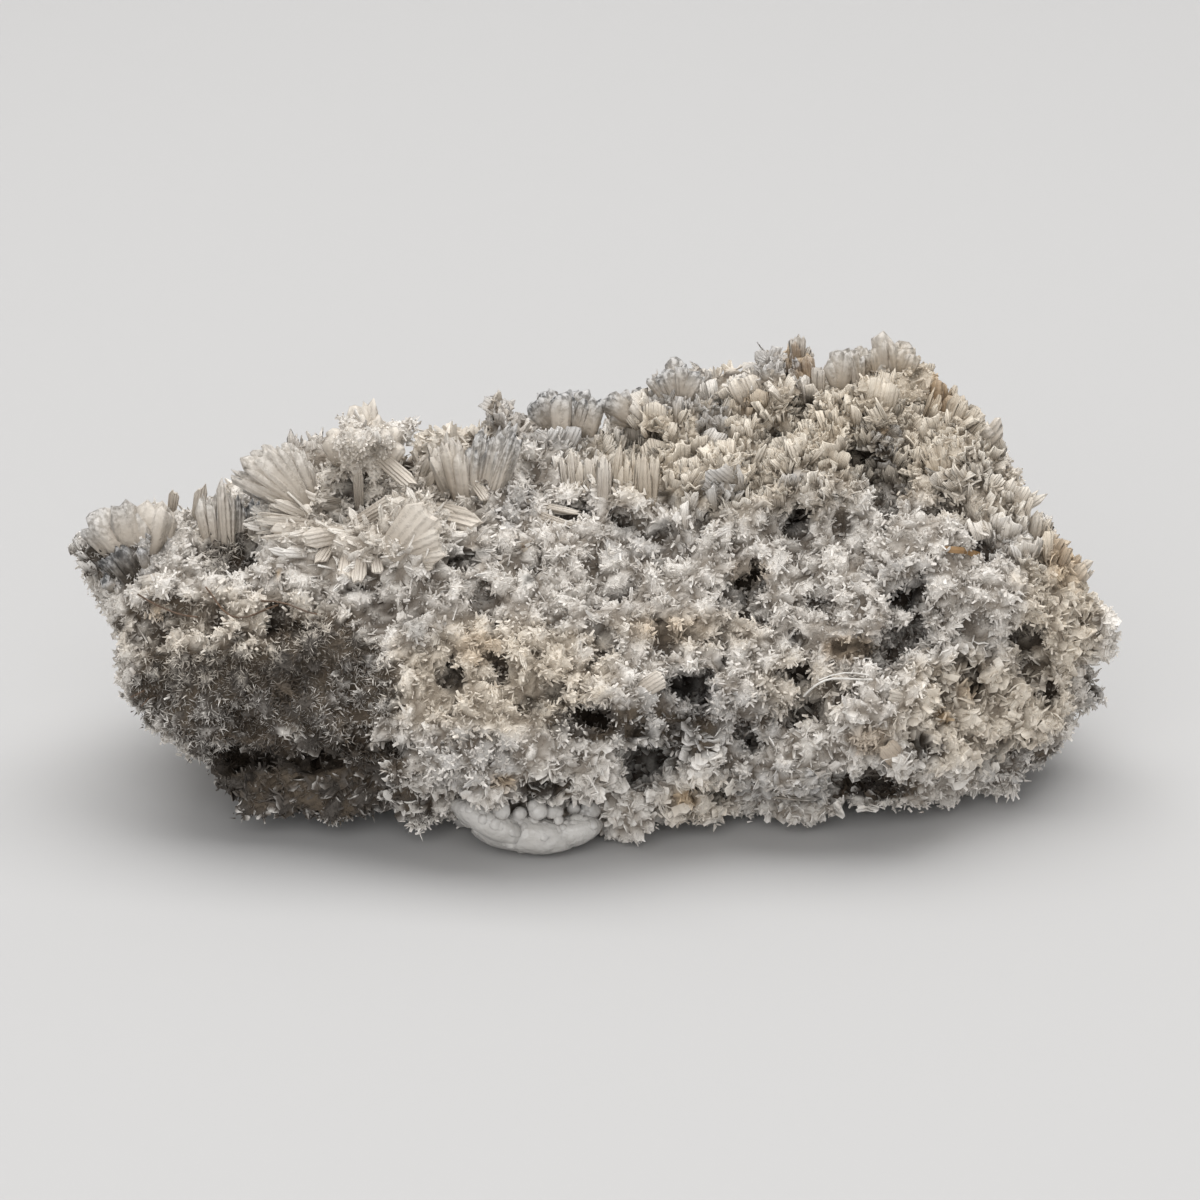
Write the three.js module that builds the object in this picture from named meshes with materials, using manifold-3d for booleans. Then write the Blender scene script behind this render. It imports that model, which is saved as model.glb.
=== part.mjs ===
// Albite cluster: a broken slab of porous, sugary albite with sheaves of bladed crystals along its crest.
// It grew as one piece, so the model is one solid. Units are millimetres, +Z is up, X runs along the slab
// and -Y is its front. The origin lies on the flat underside that the specimen rests on.
import * as THREE from "three";
import { ImprovedNoise } from "three/addons/math/ImprovedNoise.js";
import { mergeVertices } from "three/addons/utils/BufferGeometryUtils.js";
import Module from "manifold-3d";

const wasm = await Module();
wasm.setup();

// Driving dimensions of the slab: where its cross-sections stand along X.
const LEFT_TIP = [-38, 1, 18.5];
const RIGHT_TIP = [38.4, 3, 8.5];
const STATIONS = [-35.5, -27.5, -15, 0, 14, 26, 34.5];

// Eight rails run from the left tip to the right tip, counted round the section from the back over the
// crest to the front. Each pair is the depth y and the height z of the rail at one station.
const RAILS = {
  back: [[9.5, 15], [16.5, 12], [19, 11], [20, 11], [20.5, 12], [18, 11], [12, 9]],
  backShoulder: [[7, 18.5], [12, 18.5], [14, 19.5], [15.5, 22.5], [16, 25.5], [14, 22], [10, 13]],
  crest: [[2, 20.5], [2.5, 22.5], [3, 23.5], [4.5, 26.5], [5.5, 30], [5.5, 27.5], [5, 16.5]],
  shoulder: [[-4, 19], [-7.5, 19.5], [-8.5, 20], [-7.5, 21.5], [-5.5, 23.5], [-5, 21.5], [-2, 15]],
  belly: [[-6, 14], [-13, 12], [-16, 10.5], [-17, 9.5], [-14.5, 9.5], [-10.5, 9.5], [-5, 9]],
  foot: [[-3.5, 11], [-9, 3.5], [-11, 2], [-11.5, 0.5], [-7.5, 0.3], [-5.5, 1.2], [-2.5, 4.5]],
  keel: [[3, 10], [1, 2.5], [1, -1], [1, -1.6], [1, -1.6], [2, -0.8], [3, 3]],
  backFoot: [[8, 11.5], [12, 5], [13, 1], [13, -0.8], [14, -0.8], [12, 1.5], [9, 5]],
};

// Ruggedness of the broken surface: rounded clumps with creases between them, at three scales.
const RUGGED = [
  { wavelength: 12, height: 4.6, offset: 31.7 },
  { wavelength: 6.1, height: 4.4, offset: 77.3 },
  { wavelength: 3.7, height: 3.2, offset: 12.9 },
];
const CLUMP_LEVEL = 0.24; // average of the folded noise, so the slab keeps its size
const MIDDLE_LINE = { y: 1, z: 12 };
const BODY_DETAIL = 14;
const LUMP_DETAIL = 1;
const HOLLOW_DETAIL = 1;
const LUMP_ROUGHNESS = 0.32;

// Brows and ledges where the slab swells outwards: centre, radius of the swelling and its height.
const SWELLS = [
  { name: "white shelf", at: [26, -7, 18], radius: 8, height: 1.8 },
  { name: "shelf corner", at: [33.5, -4, 15], radius: 5, height: 1.6 },
  { name: "middle brow", at: [-5, -13, 16], radius: 8, height: 1.8 },
  { name: "left brow", at: [-27, -9, 17], radius: 8, height: 1.2 },
  { name: "right cheek", at: [20, -12, 11], radius: 7, height: 1.2 },
  { name: "left groove", at: [-21, -12, 6.4], radius: 5, height: -2.2 },
  { name: "middle groove", at: [4, -15, 7], radius: 4.5, height: -1.6 },
];

// Lumps that stand proud of the slab: centre, and half sizes along X, Y and Z.
const LUMPS = [
  { name: "left wing", at: [-34.5, -1, 19], size: [4.4, 5, 3.4] },
  { name: "pale foot", at: [-5.6, -12.2, 2.6], size: [5.4, 3.2, 2.6] },
  { name: "front right foot", at: [15, -8.4, 2.6], size: [4.4, 3.2, 2.6] },
  { name: "right heel", at: [24, -6.4, 3.6], size: [4.8, 3.2, 2.6] },
  { name: "right end", at: [35.2, 1.5, 12.6], size: [2.8, 4.5, 4] },
  { name: "right knob", at: [36.8, 2, 6.9], size: [2, 2.2, 2.3] },
  { name: "left rim", at: [-22, -8.6, 3.8], size: [8, 3.4, 2.2] },
];

// Holes in the porous front and back: centre, and half sizes along X, Y and Z.
const HOLLOWS = [
  { name: "round vug", at: [10.9, -10.2, 19], size: [2.3, 3.6, 2.1] },
  { name: "shelf vug", at: [21.6, -11, 16], size: [2.8, 4, 1.7] },
  { name: "middle slot", at: [-10.4, -17, 13.6], size: [1.5, 3, 1.3] },
  { name: "dark vug", at: [6.7, -16.4, 12.6], size: [2.7, 4, 1.8] },
  { name: "grey hollow", at: [3.2, -17, 7], size: [3, 4.4, 2.5] },
  { name: "brown slot", at: [26.6, -11.6, 12], size: [1.9, 4, 2.2] },
  { name: "shelf cave", at: [32, -7.6, 12.6], size: [2, 3.6, 1.9] },
  { name: "white hair vug", at: [14.4, -15, 12.2], size: [1.9, 4, 2.2] },
  { name: "lower vug", at: [10.9, -14.8, 8], size: [1.6, 3.6, 1.8] },
  { name: "heel gap", at: [19.8, -9.8, 4.2], size: [2.6, 4.4, 1.6] },
  { name: "left cave", at: [-24.4, -14.6, 16], size: [2.4, 3, 1.4] },
  { name: "crest recess", at: [20.4, -2, 25], size: [1.9, 3.2, 2.4] },
  { name: "back vug", at: [-8, 20.8, 12], size: [2.8, 3, 2.2] },
];

// Sheaves of bladed crystals. The hub sits inside the slab, aim is the way the sheaf opens, spread is its
// half angle in degrees, reach the length of its longest crystals, and blades how many stand clear of it.
const SHEAVES = [
  { name: "left rosette", hub: [-33.5, -1, 18], aim: [-0.5, -0.3, 0.8], spread: 58, reach: 6.6, blades: 1 },
  { name: "left flutes", hub: [-28.5, -1, 17.5], aim: [0, -0.2, 1], spread: 30, reach: 7, blades: 0 },
  { name: "west fan", hub: [-21.4, -1.5, 19.5], aim: [-0.55, -0.25, 0.85], spread: 42, reach: 9.2, blades: 1 },
  { name: "west peak", hub: [-17, 2, 21], aim: [-0.05, 0.1, 1], spread: 34, reach: 9.2, blades: 2 },
  { name: "white star", hub: [-15, -3.6, 19.5], aim: [0.1, -0.8, 0.6], spread: 60, reach: 8, blades: 6 },
  { name: "upright fan", hub: [-9.6, 0.5, 19], aim: [0.4, 0.05, 1], spread: 33, reach: 10, blades: 3 },
  { name: "low spray", hub: [-2.6, -3.6, 19.5], aim: [-0.2, -0.6, 0.6], spread: 52, reach: 5.6, blades: 2 },
  { name: "block fan", hub: [2, -1, 20], aim: [-0.05, -0.3, 1], spread: 32, reach: 8.6, blades: 0 },
  { name: "grey horn", hub: [-1.5, 5, 22.6], aim: [-0.15, 0.05, 1], spread: 34, reach: 7.8, blades: 1 },
  { name: "cream fan", hub: [8, -0.5, 21], aim: [0, -0.5, 0.85], spread: 46, reach: 8.6, blades: 0 },
  { name: "middle crest", hub: [6.5, 5.5, 24], aim: [0, 0.05, 1], spread: 40, reach: 7.2, blades: 0 },
  { name: "east crest", hub: [14, 6, 26], aim: [-0.1, 0, 1], spread: 44, reach: 7.4, blades: 1 },
  { name: "east cream", hub: [15.5, 0, 22.5], aim: [0.1, -0.7, 0.7], spread: 50, reach: 8, blades: 0 },
  { name: "summit", hub: [21.6, 6, 26], aim: [0.1, 0, 1], spread: 46, reach: 7.2, blades: 0 },
  { name: "east brow", hub: [25, 2, 23], aim: [0.35, -0.4, 0.85], spread: 50, reach: 7.6, blades: 0 },
  { name: "right spread", hub: [26.6, 0, 20], aim: [0.7, -0.5, 0.45], spread: 50, reach: 6.6, blades: 0 },
  { name: "right edge", hub: [31.5, 4.5, 15], aim: [0.8, 0, 0.6], spread: 50, reach: 5.2, blades: 0 },
  { name: "back west", hub: [-21, 8.5, 18.5], aim: [-0.1, 0.6, 0.8], spread: 50, reach: 7.8, blades: 0 },
  { name: "back middle", hub: [-7, 11, 19.5], aim: [0, 0.65, 0.75], spread: 50, reach: 7.8, blades: 0 },
  { name: "back east", hub: [7, 13, 22], aim: [0, 0.65, 0.75], spread: 50, reach: 7.8, blades: 0 },
  { name: "back summit", hub: [19, 13, 22], aim: [0.15, 0.65, 0.75], spread: 50, reach: 7.4, blades: 0 },
];

// The fluted crown that carries a sheaf: how many flutes it has, how deep they cut, and as shares of the
// reach where its rim, its inner ring and its dip stand.
const CROWN = { flutes: 6, groove: 0.76, rim: 0.84, inner: 0.95, dip: 0.9, innerRadius: 0.5, uneven: 0.2 };

// One blade, as shares of the reach: how wide and thick it is, and where its shoulders and tip stand.
const BLADE = { width: 0.3, thickness: 0.13, flare: 1.3, shoulder: 0.8, tipOffset: 0.06, foot: 0.35 };
const SHORTEST_BLADE = 0.86;
const BLADE_TILT = 0.8;
const GOLDEN_ANGLE = Math.PI * (3 - Math.sqrt(5));
const FLOOR_BLOCK = [120, 90, 20];

const noise = new ImprovedNoise();

// A value between 0 and 1 that is fixed for each whole number.
function scatter(index) {
  const value = Math.sin(index * 12.9898 + 4.1414) * 43758.5453;
  return value - Math.floor(value);
}

function roughness(point) {
  let height = 0;
  for (const octave of RUGGED) {
    const p = point.clone().divideScalar(octave.wavelength).addScalar(octave.offset);
    height += octave.height * (Math.abs(noise.noise(p.x, p.y, p.z)) - CLUMP_LEVEL);
  }
  for (const swell of SWELLS) {
    const away = point.distanceTo(new THREE.Vector3(...swell.at)) / swell.radius;
    height += swell.height * Math.exp(-2 * away * away);
  }
  return height;
}

// A closed mesh as a solid that can be joined and cut.
function solidOf(geometry) {
  const bare = geometry.clone();
  bare.deleteAttribute("normal");
  bare.deleteAttribute("uv");
  const merged = mergeVertices(bare);
  return new wasm.Manifold(
    new wasm.Mesh({
      numProp: 3,
      vertProperties: merged.attributes.position.array,
      triVerts: new Uint32Array(merged.index.array),
    }),
  );
}

function geometryOf(solid) {
  const { numProp, numVert, vertProperties, triVerts } = solid.getMesh();
  const position = new Float32Array(numVert * 3);
  for (let i = 0; i < numVert; i++) {
    position.set(vertProperties.subarray(i * numProp, i * numProp + 3), i * 3);
  }
  const geometry = new THREE.BufferGeometry();
  geometry.setAttribute("position", new THREE.BufferAttribute(position, 3));
  geometry.setIndex(new THREE.BufferAttribute(triVerts, 1));
  return geometry;
}

// The largest closed shell of a solid, which leaves out sealed bubbles and loose crumbs.
function outerShell(solid) {
  return solid.decompose().reduce((largest, shell) => (shell.volume() > largest.volume() ? shell : largest));
}

// Moves every vertex of a geometry to where place puts its unit direction.
function reshape(geometry, place) {
  const position = geometry.attributes.position;
  const direction = new THREE.Vector3();
  for (let i = 0; i < position.count; i++) {
    const moved = place(direction.fromBufferAttribute(position, i).normalize());
    position.setXYZ(i, moved.x, moved.y, moved.z);
  }
  return geometry;
}

// The slab: a ball pulled out to the closed loft that the eight rails describe, then roughened.
function slab() {
  const rails = Object.values(RAILS).map((rail) => {
    const points = rail.map(([y, z], i) => new THREE.Vector3(STATIONS[i], y, z));
    return new THREE.CatmullRomCurve3([
      new THREE.Vector3(...LEFT_TIP),
      ...points,
      new THREE.Vector3(...RIGHT_TIP),
    ]);
  });
  const core = new THREE.Vector3();
  return reshape(new THREE.IcosahedronGeometry(1, BODY_DETAIL), (direction) => {
    const along = Math.acos(THREE.MathUtils.clamp(-direction.x, -1, 1)) / Math.PI;
    const around = Math.atan2(direction.z, direction.y) / (2 * Math.PI);
    const section = new THREE.CatmullRomCurve3(rails.map((rail) => rail.getPoint(along)), true);
    const point = section.getPoint((around + 1) % 1);
    core.set(point.x, MIDDLE_LINE.y, MIDDLE_LINE.z);
    const outward = point.clone().sub(core).normalize();
    return point.clone().addScaledVector(outward, roughness(point));
  });
}

// A rough rounded stone shape, used for the lumps and, cut away, for the hollows.
function boulder({ at, size }, detail) {
  const centre = new THREE.Vector3(...at);
  return reshape(new THREE.IcosahedronGeometry(1, detail), (direction) => {
    const point = direction.clone().multiply(new THREE.Vector3(...size));
    const swell = noise.noise(point.x + at[0], point.y + at[1], point.z + at[2]);
    return point.multiplyScalar(1 + 2 * LUMP_ROUGHNESS * swell).add(centre);
  });
}

// A tabular crystal along +Y, flat across Z, with a lopsided chisel tip.
function blade(length, width, thickness) {
  const half = width / 2;
  const outline = new THREE.Shape();
  outline.moveTo(-half / BLADE.flare, length * BLADE.foot);
  outline.lineTo(half / BLADE.flare, length * BLADE.foot);
  outline.lineTo(half, length * BLADE.shoulder);
  outline.lineTo(width * BLADE.tipOffset, length);
  outline.lineTo(-half, length * (BLADE.shoulder + BLADE.tipOffset));
  const geometry = new THREE.ExtrudeGeometry(outline, { depth: thickness, bevelEnabled: false });
  return geometry.translate(0, 0, -thickness / 2);
}

// Intergrown blades as one fluted cone along +Y, with a jagged rim round a shallow dip.
function crown({ reach, spread }, order) {
  const radius = reach * Math.sin(THREE.MathUtils.degToRad(spread)) * CROWN.rim;
  const profile = [
    new THREE.Vector2(0, 0),
    new THREE.Vector2(radius, reach * CROWN.rim * Math.cos(THREE.MathUtils.degToRad(spread))),
    new THREE.Vector2(radius * CROWN.innerRadius, reach * CROWN.inner),
    new THREE.Vector2(0, reach * CROWN.dip),
  ];
  const segments = 2 * CROWN.flutes;
  const geometry = new THREE.LatheGeometry(profile, segments);
  const position = geometry.attributes.position;
  for (let i = 0; i < position.count; i++) {
    const row = i % profile.length;
    const column = Math.floor(i / profile.length) % segments;
    if (row === 0 || row === profile.length - 1) continue;
    const inGroove = (column + row) % 2 === 1;
    const chance = scatter(order * 1000 + column * 10 + row);
    const narrow = inGroove ? CROWN.groove : 1;
    const stretch = 1 + CROWN.uneven * (chance - 0.5);
    position.setX(i, position.getX(i) * narrow * stretch);
    position.setZ(i, position.getZ(i) * narrow * stretch);
    position.setY(i, position.getY(i) * (inGroove ? 1 - CROWN.uneven : 1) * stretch);
  }
  return geometry;
}

// A frame at the sheaf's hub whose Y axis is direction and whose Z axis faces away from the aim.
function standAt(sheaf, aim, direction) {
  const flat = direction.clone().cross(aim).normalize();
  const across = direction.clone().cross(flat).normalize();
  const stand = new THREE.Matrix4().makeBasis(across, direction, across.clone().cross(direction));
  return stand.setPosition(...sheaf.hub);
}

// A sheaf is its crown and the blades that stand clear of it, turned by the golden angle.
function sheafPieces(sheaf, order) {
  const aim = new THREE.Vector3(...sheaf.aim).normalize();
  const sideways = new THREE.Vector3(1, 0, 0).cross(aim).normalize();
  const pieces = [crown(sheaf, order).applyMatrix4(standAt(sheaf, sideways, aim))];
  for (let i = 0; i < sheaf.blades; i++) {
    const chance = scatter(order * 100 + i);
    const share = Math.sqrt((i + 0.5) / sheaf.blades);
    const tilt = THREE.MathUtils.degToRad(sheaf.spread) * BLADE_TILT * share;
    const turn = i * GOLDEN_ANGLE + order;
    const direction = aim.clone().applyAxisAngle(sideways, tilt).applyAxisAngle(aim, turn);
    const length = sheaf.reach * (SHORTEST_BLADE + (1 - SHORTEST_BLADE) * chance);
    const crystal = blade(length, sheaf.reach * BLADE.width, sheaf.reach * BLADE.thickness);
    pieces.push(crystal.applyMatrix4(standAt(sheaf, aim, direction)));
  }
  return pieces;
}

let cluster = solidOf(slab());
for (const lump of LUMPS) cluster = cluster.add(solidOf(boulder(lump, LUMP_DETAIL)));
for (const hollow of HOLLOWS) cluster = cluster.subtract(solidOf(boulder(hollow, HOLLOW_DETAIL)));
SHEAVES.forEach((sheaf, order) => {
  for (const piece of sheafPieces(sheaf, order)) cluster = cluster.add(solidOf(piece));
});

// Everything below the resting plane is cut off flat.
const floorBlock = new THREE.BoxGeometry(...FLOOR_BLOCK).translate(0, 0, -FLOOR_BLOCK[2] / 2);
cluster = outerShell(cluster.subtract(solidOf(floorBlock)));

const albite = new THREE.MeshStandardMaterial({ color: 0xd8d2c6, roughness: 0.72, metalness: 0 });
const mesh = new THREE.Mesh(geometryOf(cluster), albite);
mesh.name = "albite_cluster";

const specimen = new THREE.Group();
specimen.add(mesh);
export default specimen;
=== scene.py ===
# %% [markdown]
# # An albite cluster
# Albite is a pale feldspar. This specimen is a broken slab of it, porous and sugary, with fans of larger
# bladed crystals along its crest. The CAD model gives its size and main lumps as one coarse solid. This
# lesson dresses that solid: a pitted body, a coat of tiny crystals, fans of blades, a glassy foot and the
# few loose hairs that lie on it. Everything is in metres, and one named length, MM, keeps sizes readable.

# %% Load the fixed frame
import math

import bmesh
import bpy
import numpy as np
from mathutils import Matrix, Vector, noise
from mathutils.bvhtree import BVHTree


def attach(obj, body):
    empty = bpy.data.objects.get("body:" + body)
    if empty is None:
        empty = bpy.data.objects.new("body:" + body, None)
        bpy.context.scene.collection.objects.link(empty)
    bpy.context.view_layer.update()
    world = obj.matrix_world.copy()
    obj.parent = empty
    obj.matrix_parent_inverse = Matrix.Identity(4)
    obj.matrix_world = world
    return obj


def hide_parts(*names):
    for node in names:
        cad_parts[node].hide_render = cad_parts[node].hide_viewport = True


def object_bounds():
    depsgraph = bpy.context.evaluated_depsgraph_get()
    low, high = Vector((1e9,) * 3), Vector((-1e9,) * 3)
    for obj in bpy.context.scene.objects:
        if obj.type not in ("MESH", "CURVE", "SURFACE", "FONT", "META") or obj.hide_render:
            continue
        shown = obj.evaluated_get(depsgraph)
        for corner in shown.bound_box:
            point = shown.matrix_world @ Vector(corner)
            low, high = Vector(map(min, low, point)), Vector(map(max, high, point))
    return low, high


MM = 0.001
TURN = 2 * math.pi
noise.seed_set(1)
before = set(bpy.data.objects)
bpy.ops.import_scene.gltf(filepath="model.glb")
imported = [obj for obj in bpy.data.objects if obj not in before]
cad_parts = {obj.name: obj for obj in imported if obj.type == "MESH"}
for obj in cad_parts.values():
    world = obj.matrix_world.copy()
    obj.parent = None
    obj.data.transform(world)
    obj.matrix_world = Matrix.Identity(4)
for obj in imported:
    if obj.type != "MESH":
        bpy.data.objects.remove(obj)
cad_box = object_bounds()
low, high = (np.array(corner) for corner in cad_box)
print("CAD box in mm:", np.round((high - low) / MM, 1))

# %% [markdown]
# ## Camera
# The picture this follows looks down on the front of the slab from about 22 degrees, from some 32 cm away.
# A long lens at that distance keeps the perspective mild. The same numbers also give the ray through any
# point of a 1200-pixel square picture, so that a hair or a hole can be laid where the picture shows it.

# %% Place the camera
PICTURE = 1200
TILT = math.radians(22)
DISTANCE = 320 * MM
AIM = Vector((0, 0, 15 * MM))
PIXELS_PER_MM = 13.4
SENSOR = 36.0

forward = Vector((0, math.cos(TILT), -math.sin(TILT)))
picture_up = Vector((0, math.sin(TILT), math.cos(TILT)))
eye = AIM - forward * DISTANCE

camera_data = bpy.data.cameras.new("camera")
camera_data.sensor_width = SENSOR
camera_data.lens = SENSOR * (DISTANCE / MM) * PIXELS_PER_MM / PICTURE
camera = bpy.data.objects.new("camera", camera_data)
camera.location = eye
camera.rotation_euler = forward.to_track_quat("-Z", "Y").to_euler()
bpy.context.scene.collection.objects.link(camera)
bpy.context.scene.camera = camera


def ray_through(x, y):
    """The direction from the eye through a point of the picture."""
    right = (x - PICTURE / 2) / (PIXELS_PER_MM / MM)
    up = (PICTURE / 2 - y) / (PIXELS_PER_MM / MM)
    return (forward * DISTANCE + Vector((right, 0, 0)) + picture_up * up).normalized()


print("lens in mm:", round(camera_data.lens, 1))

# %% [markdown]
# ## Floor and light
# The specimen lies on a pale sheet that curves up behind it, in the soft light of a large window or box
# overhead. One big area light above and slightly behind gives the soft top light and the soft shadow below,
# a weaker one in front lifts the face of the slab, and the pale sky fills the rest.

# %% Build the floor and the lights
FLOOR_GREY = (0.47, 0.465, 0.46, 1)
PAPER_ROUGHNESS = 0.9
FLOOR_HALF = 900 * MM
SWEEP_START = 260 * MM
SWEEP_RADIUS = 240 * MM
SWEEP_STEPS = 16
SKY_COLOUR = (0.92, 0.92, 0.93, 1)
SKY_STRENGTH = 0.45


def new_material(name):
    """A material and its one shader."""
    material = bpy.data.materials.new(name)
    material.use_nodes = True
    return material, material.node_tree.nodes["Principled BSDF"]


def loose_object(name, vertices, faces):
    """A mesh object that isn't in the scene yet."""
    mesh = bpy.data.meshes.new(name)
    mesh.from_pydata([tuple(v) for v in vertices], [], faces)
    return bpy.data.objects.new(name, mesh)


def new_object(name, vertices, faces):
    """A mesh object in the scene."""
    made = loose_object(name, vertices, faces)
    bpy.context.scene.collection.objects.link(made)
    return made


def paper_sweep():
    """A sheet that lies flat, then bends up behind the specimen."""
    turns = np.linspace(0, math.pi / 2, SWEEP_STEPS)
    profile = [(-FLOOR_HALF, 0.0)]
    profile += [(SWEEP_START + SWEEP_RADIUS * math.sin(t), SWEEP_RADIUS * (1 - math.cos(t))) for t in turns]
    profile.append((SWEEP_START + SWEEP_RADIUS, 2 * FLOOR_HALF))
    vertices = [(side * FLOOR_HALF, y, z) for y, z in profile for side in (-1, 1)]
    faces = [(2 * i, 2 * i + 1, 2 * i + 3, 2 * i + 2) for i in range(len(profile) - 1)]
    sheet = new_object("floor", vertices, faces)
    sheet.data.shade_smooth()
    paper, shader = new_material("pale paper")
    shader.inputs["Base Color"].default_value = FLOOR_GREY
    shader.inputs["Roughness"].default_value = PAPER_ROUGHNESS
    sheet.data.materials.append(paper)
    return sheet


def area_light(name, place, size, power):
    data = bpy.data.lights.new(name, "AREA")
    data.shape = "RECTANGLE"
    data.size, data.size_y = size
    data.energy = power
    light = bpy.data.objects.new(name, data)
    light.location = place
    light.rotation_euler = (AIM - Vector(place)).to_track_quat("-Z", "Y").to_euler()
    bpy.context.scene.collection.objects.link(light)


paper_sweep()
area_light("top softbox", place=(0.02, 0.1, 0.75), size=(0.9, 0.7), power=6.75)
area_light("front fill", place=(-0.08, -0.65, 0.4), size=(0.7, 0.5), power=3.0)
world = bpy.data.worlds.new("soft room")
world.use_nodes = True
sky = world.node_tree.nodes["Background"]
sky.inputs["Color"].default_value = SKY_COLOUR
sky.inputs["Strength"].default_value = SKY_STRENGTH
bpy.context.scene.world = world
bpy.context.scene.view_settings.view_transform = "Standard"

# %% [markdown]
# ## The body
# Under the crystals the slab is spongy rock: clumps, ledges and holes. The CAD solid is coarse, so a copy
# of it is merged, remeshed to even small faces, and then pushed in and out. A height map would smear on
# steep walls, so the work is done in two passes: big holes first, a fresh remesh, then the fine crumbs.

# %% Remesh a copy of the solid
FIRST_VOXEL = 0.6 * MM
SMOOTH_STEPS = 14
BODY_INSET = 0.35 * MM
WELD_REACH = 0.001 * MM


def merged_copy(node, name):
    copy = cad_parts[node].copy()
    copy.data = copy.data.copy()
    copy.name = name
    copy.parent = None
    copy.data.materials.clear()
    for key in [k for k in copy.keys() if k.startswith("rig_")]:
        del copy[key]
    bpy.context.scene.collection.objects.link(copy)
    welded = copy.modifiers.new("weld", "WELD")
    welded.merge_threshold = WELD_REACH
    return bake_modifiers(copy)


def bake_modifiers(piece):
    """Turns the piece and its modifiers into one plain mesh."""
    graph = bpy.context.evaluated_depsgraph_get()
    plain = bpy.data.meshes.new_from_object(piece.evaluated_get(graph))
    piece.modifiers.clear()
    old = piece.data
    piece.data = plain
    bpy.data.meshes.remove(old)
    return piece


def remesh(piece, voxel, smooth_steps=0):
    modifier = piece.modifiers.new("even faces", "REMESH")
    modifier.mode = "VOXEL"
    modifier.voxel_size = voxel
    if smooth_steps:
        piece.modifiers.new("smooth", "SMOOTH").iterations = smooth_steps
    return keep_largest(bake_modifiers(piece))


def keep_largest(piece):
    """Deletes the crumbs and bubbles that a remesh leaves apart from the main shell."""
    shell = bmesh.new()
    shell.from_mesh(piece.data)
    unseen = set(shell.verts)
    islands = []
    while unseen:
        island, edge_of_it = set(), [unseen.pop()]
        while edge_of_it:
            vertex = edge_of_it.pop()
            island.add(vertex)
            fresh = {edge.other_vert(vertex) for edge in vertex.link_edges} & unseen
            unseen -= fresh
            edge_of_it.extend(fresh)
        islands.append(island)
    islands.sort(key=len)
    bmesh.ops.delete(shell, geom=[vertex for island in islands[:-1] for vertex in island])
    shell.to_mesh(piece.data)
    shell.free()
    return piece


def points_of(piece):
    points = np.empty(3 * len(piece.data.vertices))
    piece.data.vertices.foreach_get("co", points)
    return points.reshape(-1, 3)


def normals_of(piece):
    normals = np.empty(3 * len(piece.data.vertices), np.float32)
    piece.data.vertex_normals.foreach_get("vector", normals)
    return normals.reshape(-1, 3).astype(float)


def move_points(piece, points):
    piece.data.vertices.foreach_set("co", points.ravel())
    piece.data.update()


body = remesh(merged_copy("albite_cluster", "body"), FIRST_VOXEL, SMOOTH_STEPS)
print("body after the first remesh:", len(body.data.polygons), "faces")

# %% [markdown]
# ## Where the blades grow
# The larger blades stand in sheaves along the crest. Each sheaf is named and has the hub, aim, half angle
# in degrees and reach in millimetres that the CAD solid was built with, so the blades fill the space the
# solid keeps for them. Draw says how far the rock is drawn back towards the hub, to leave the blades room.

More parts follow.
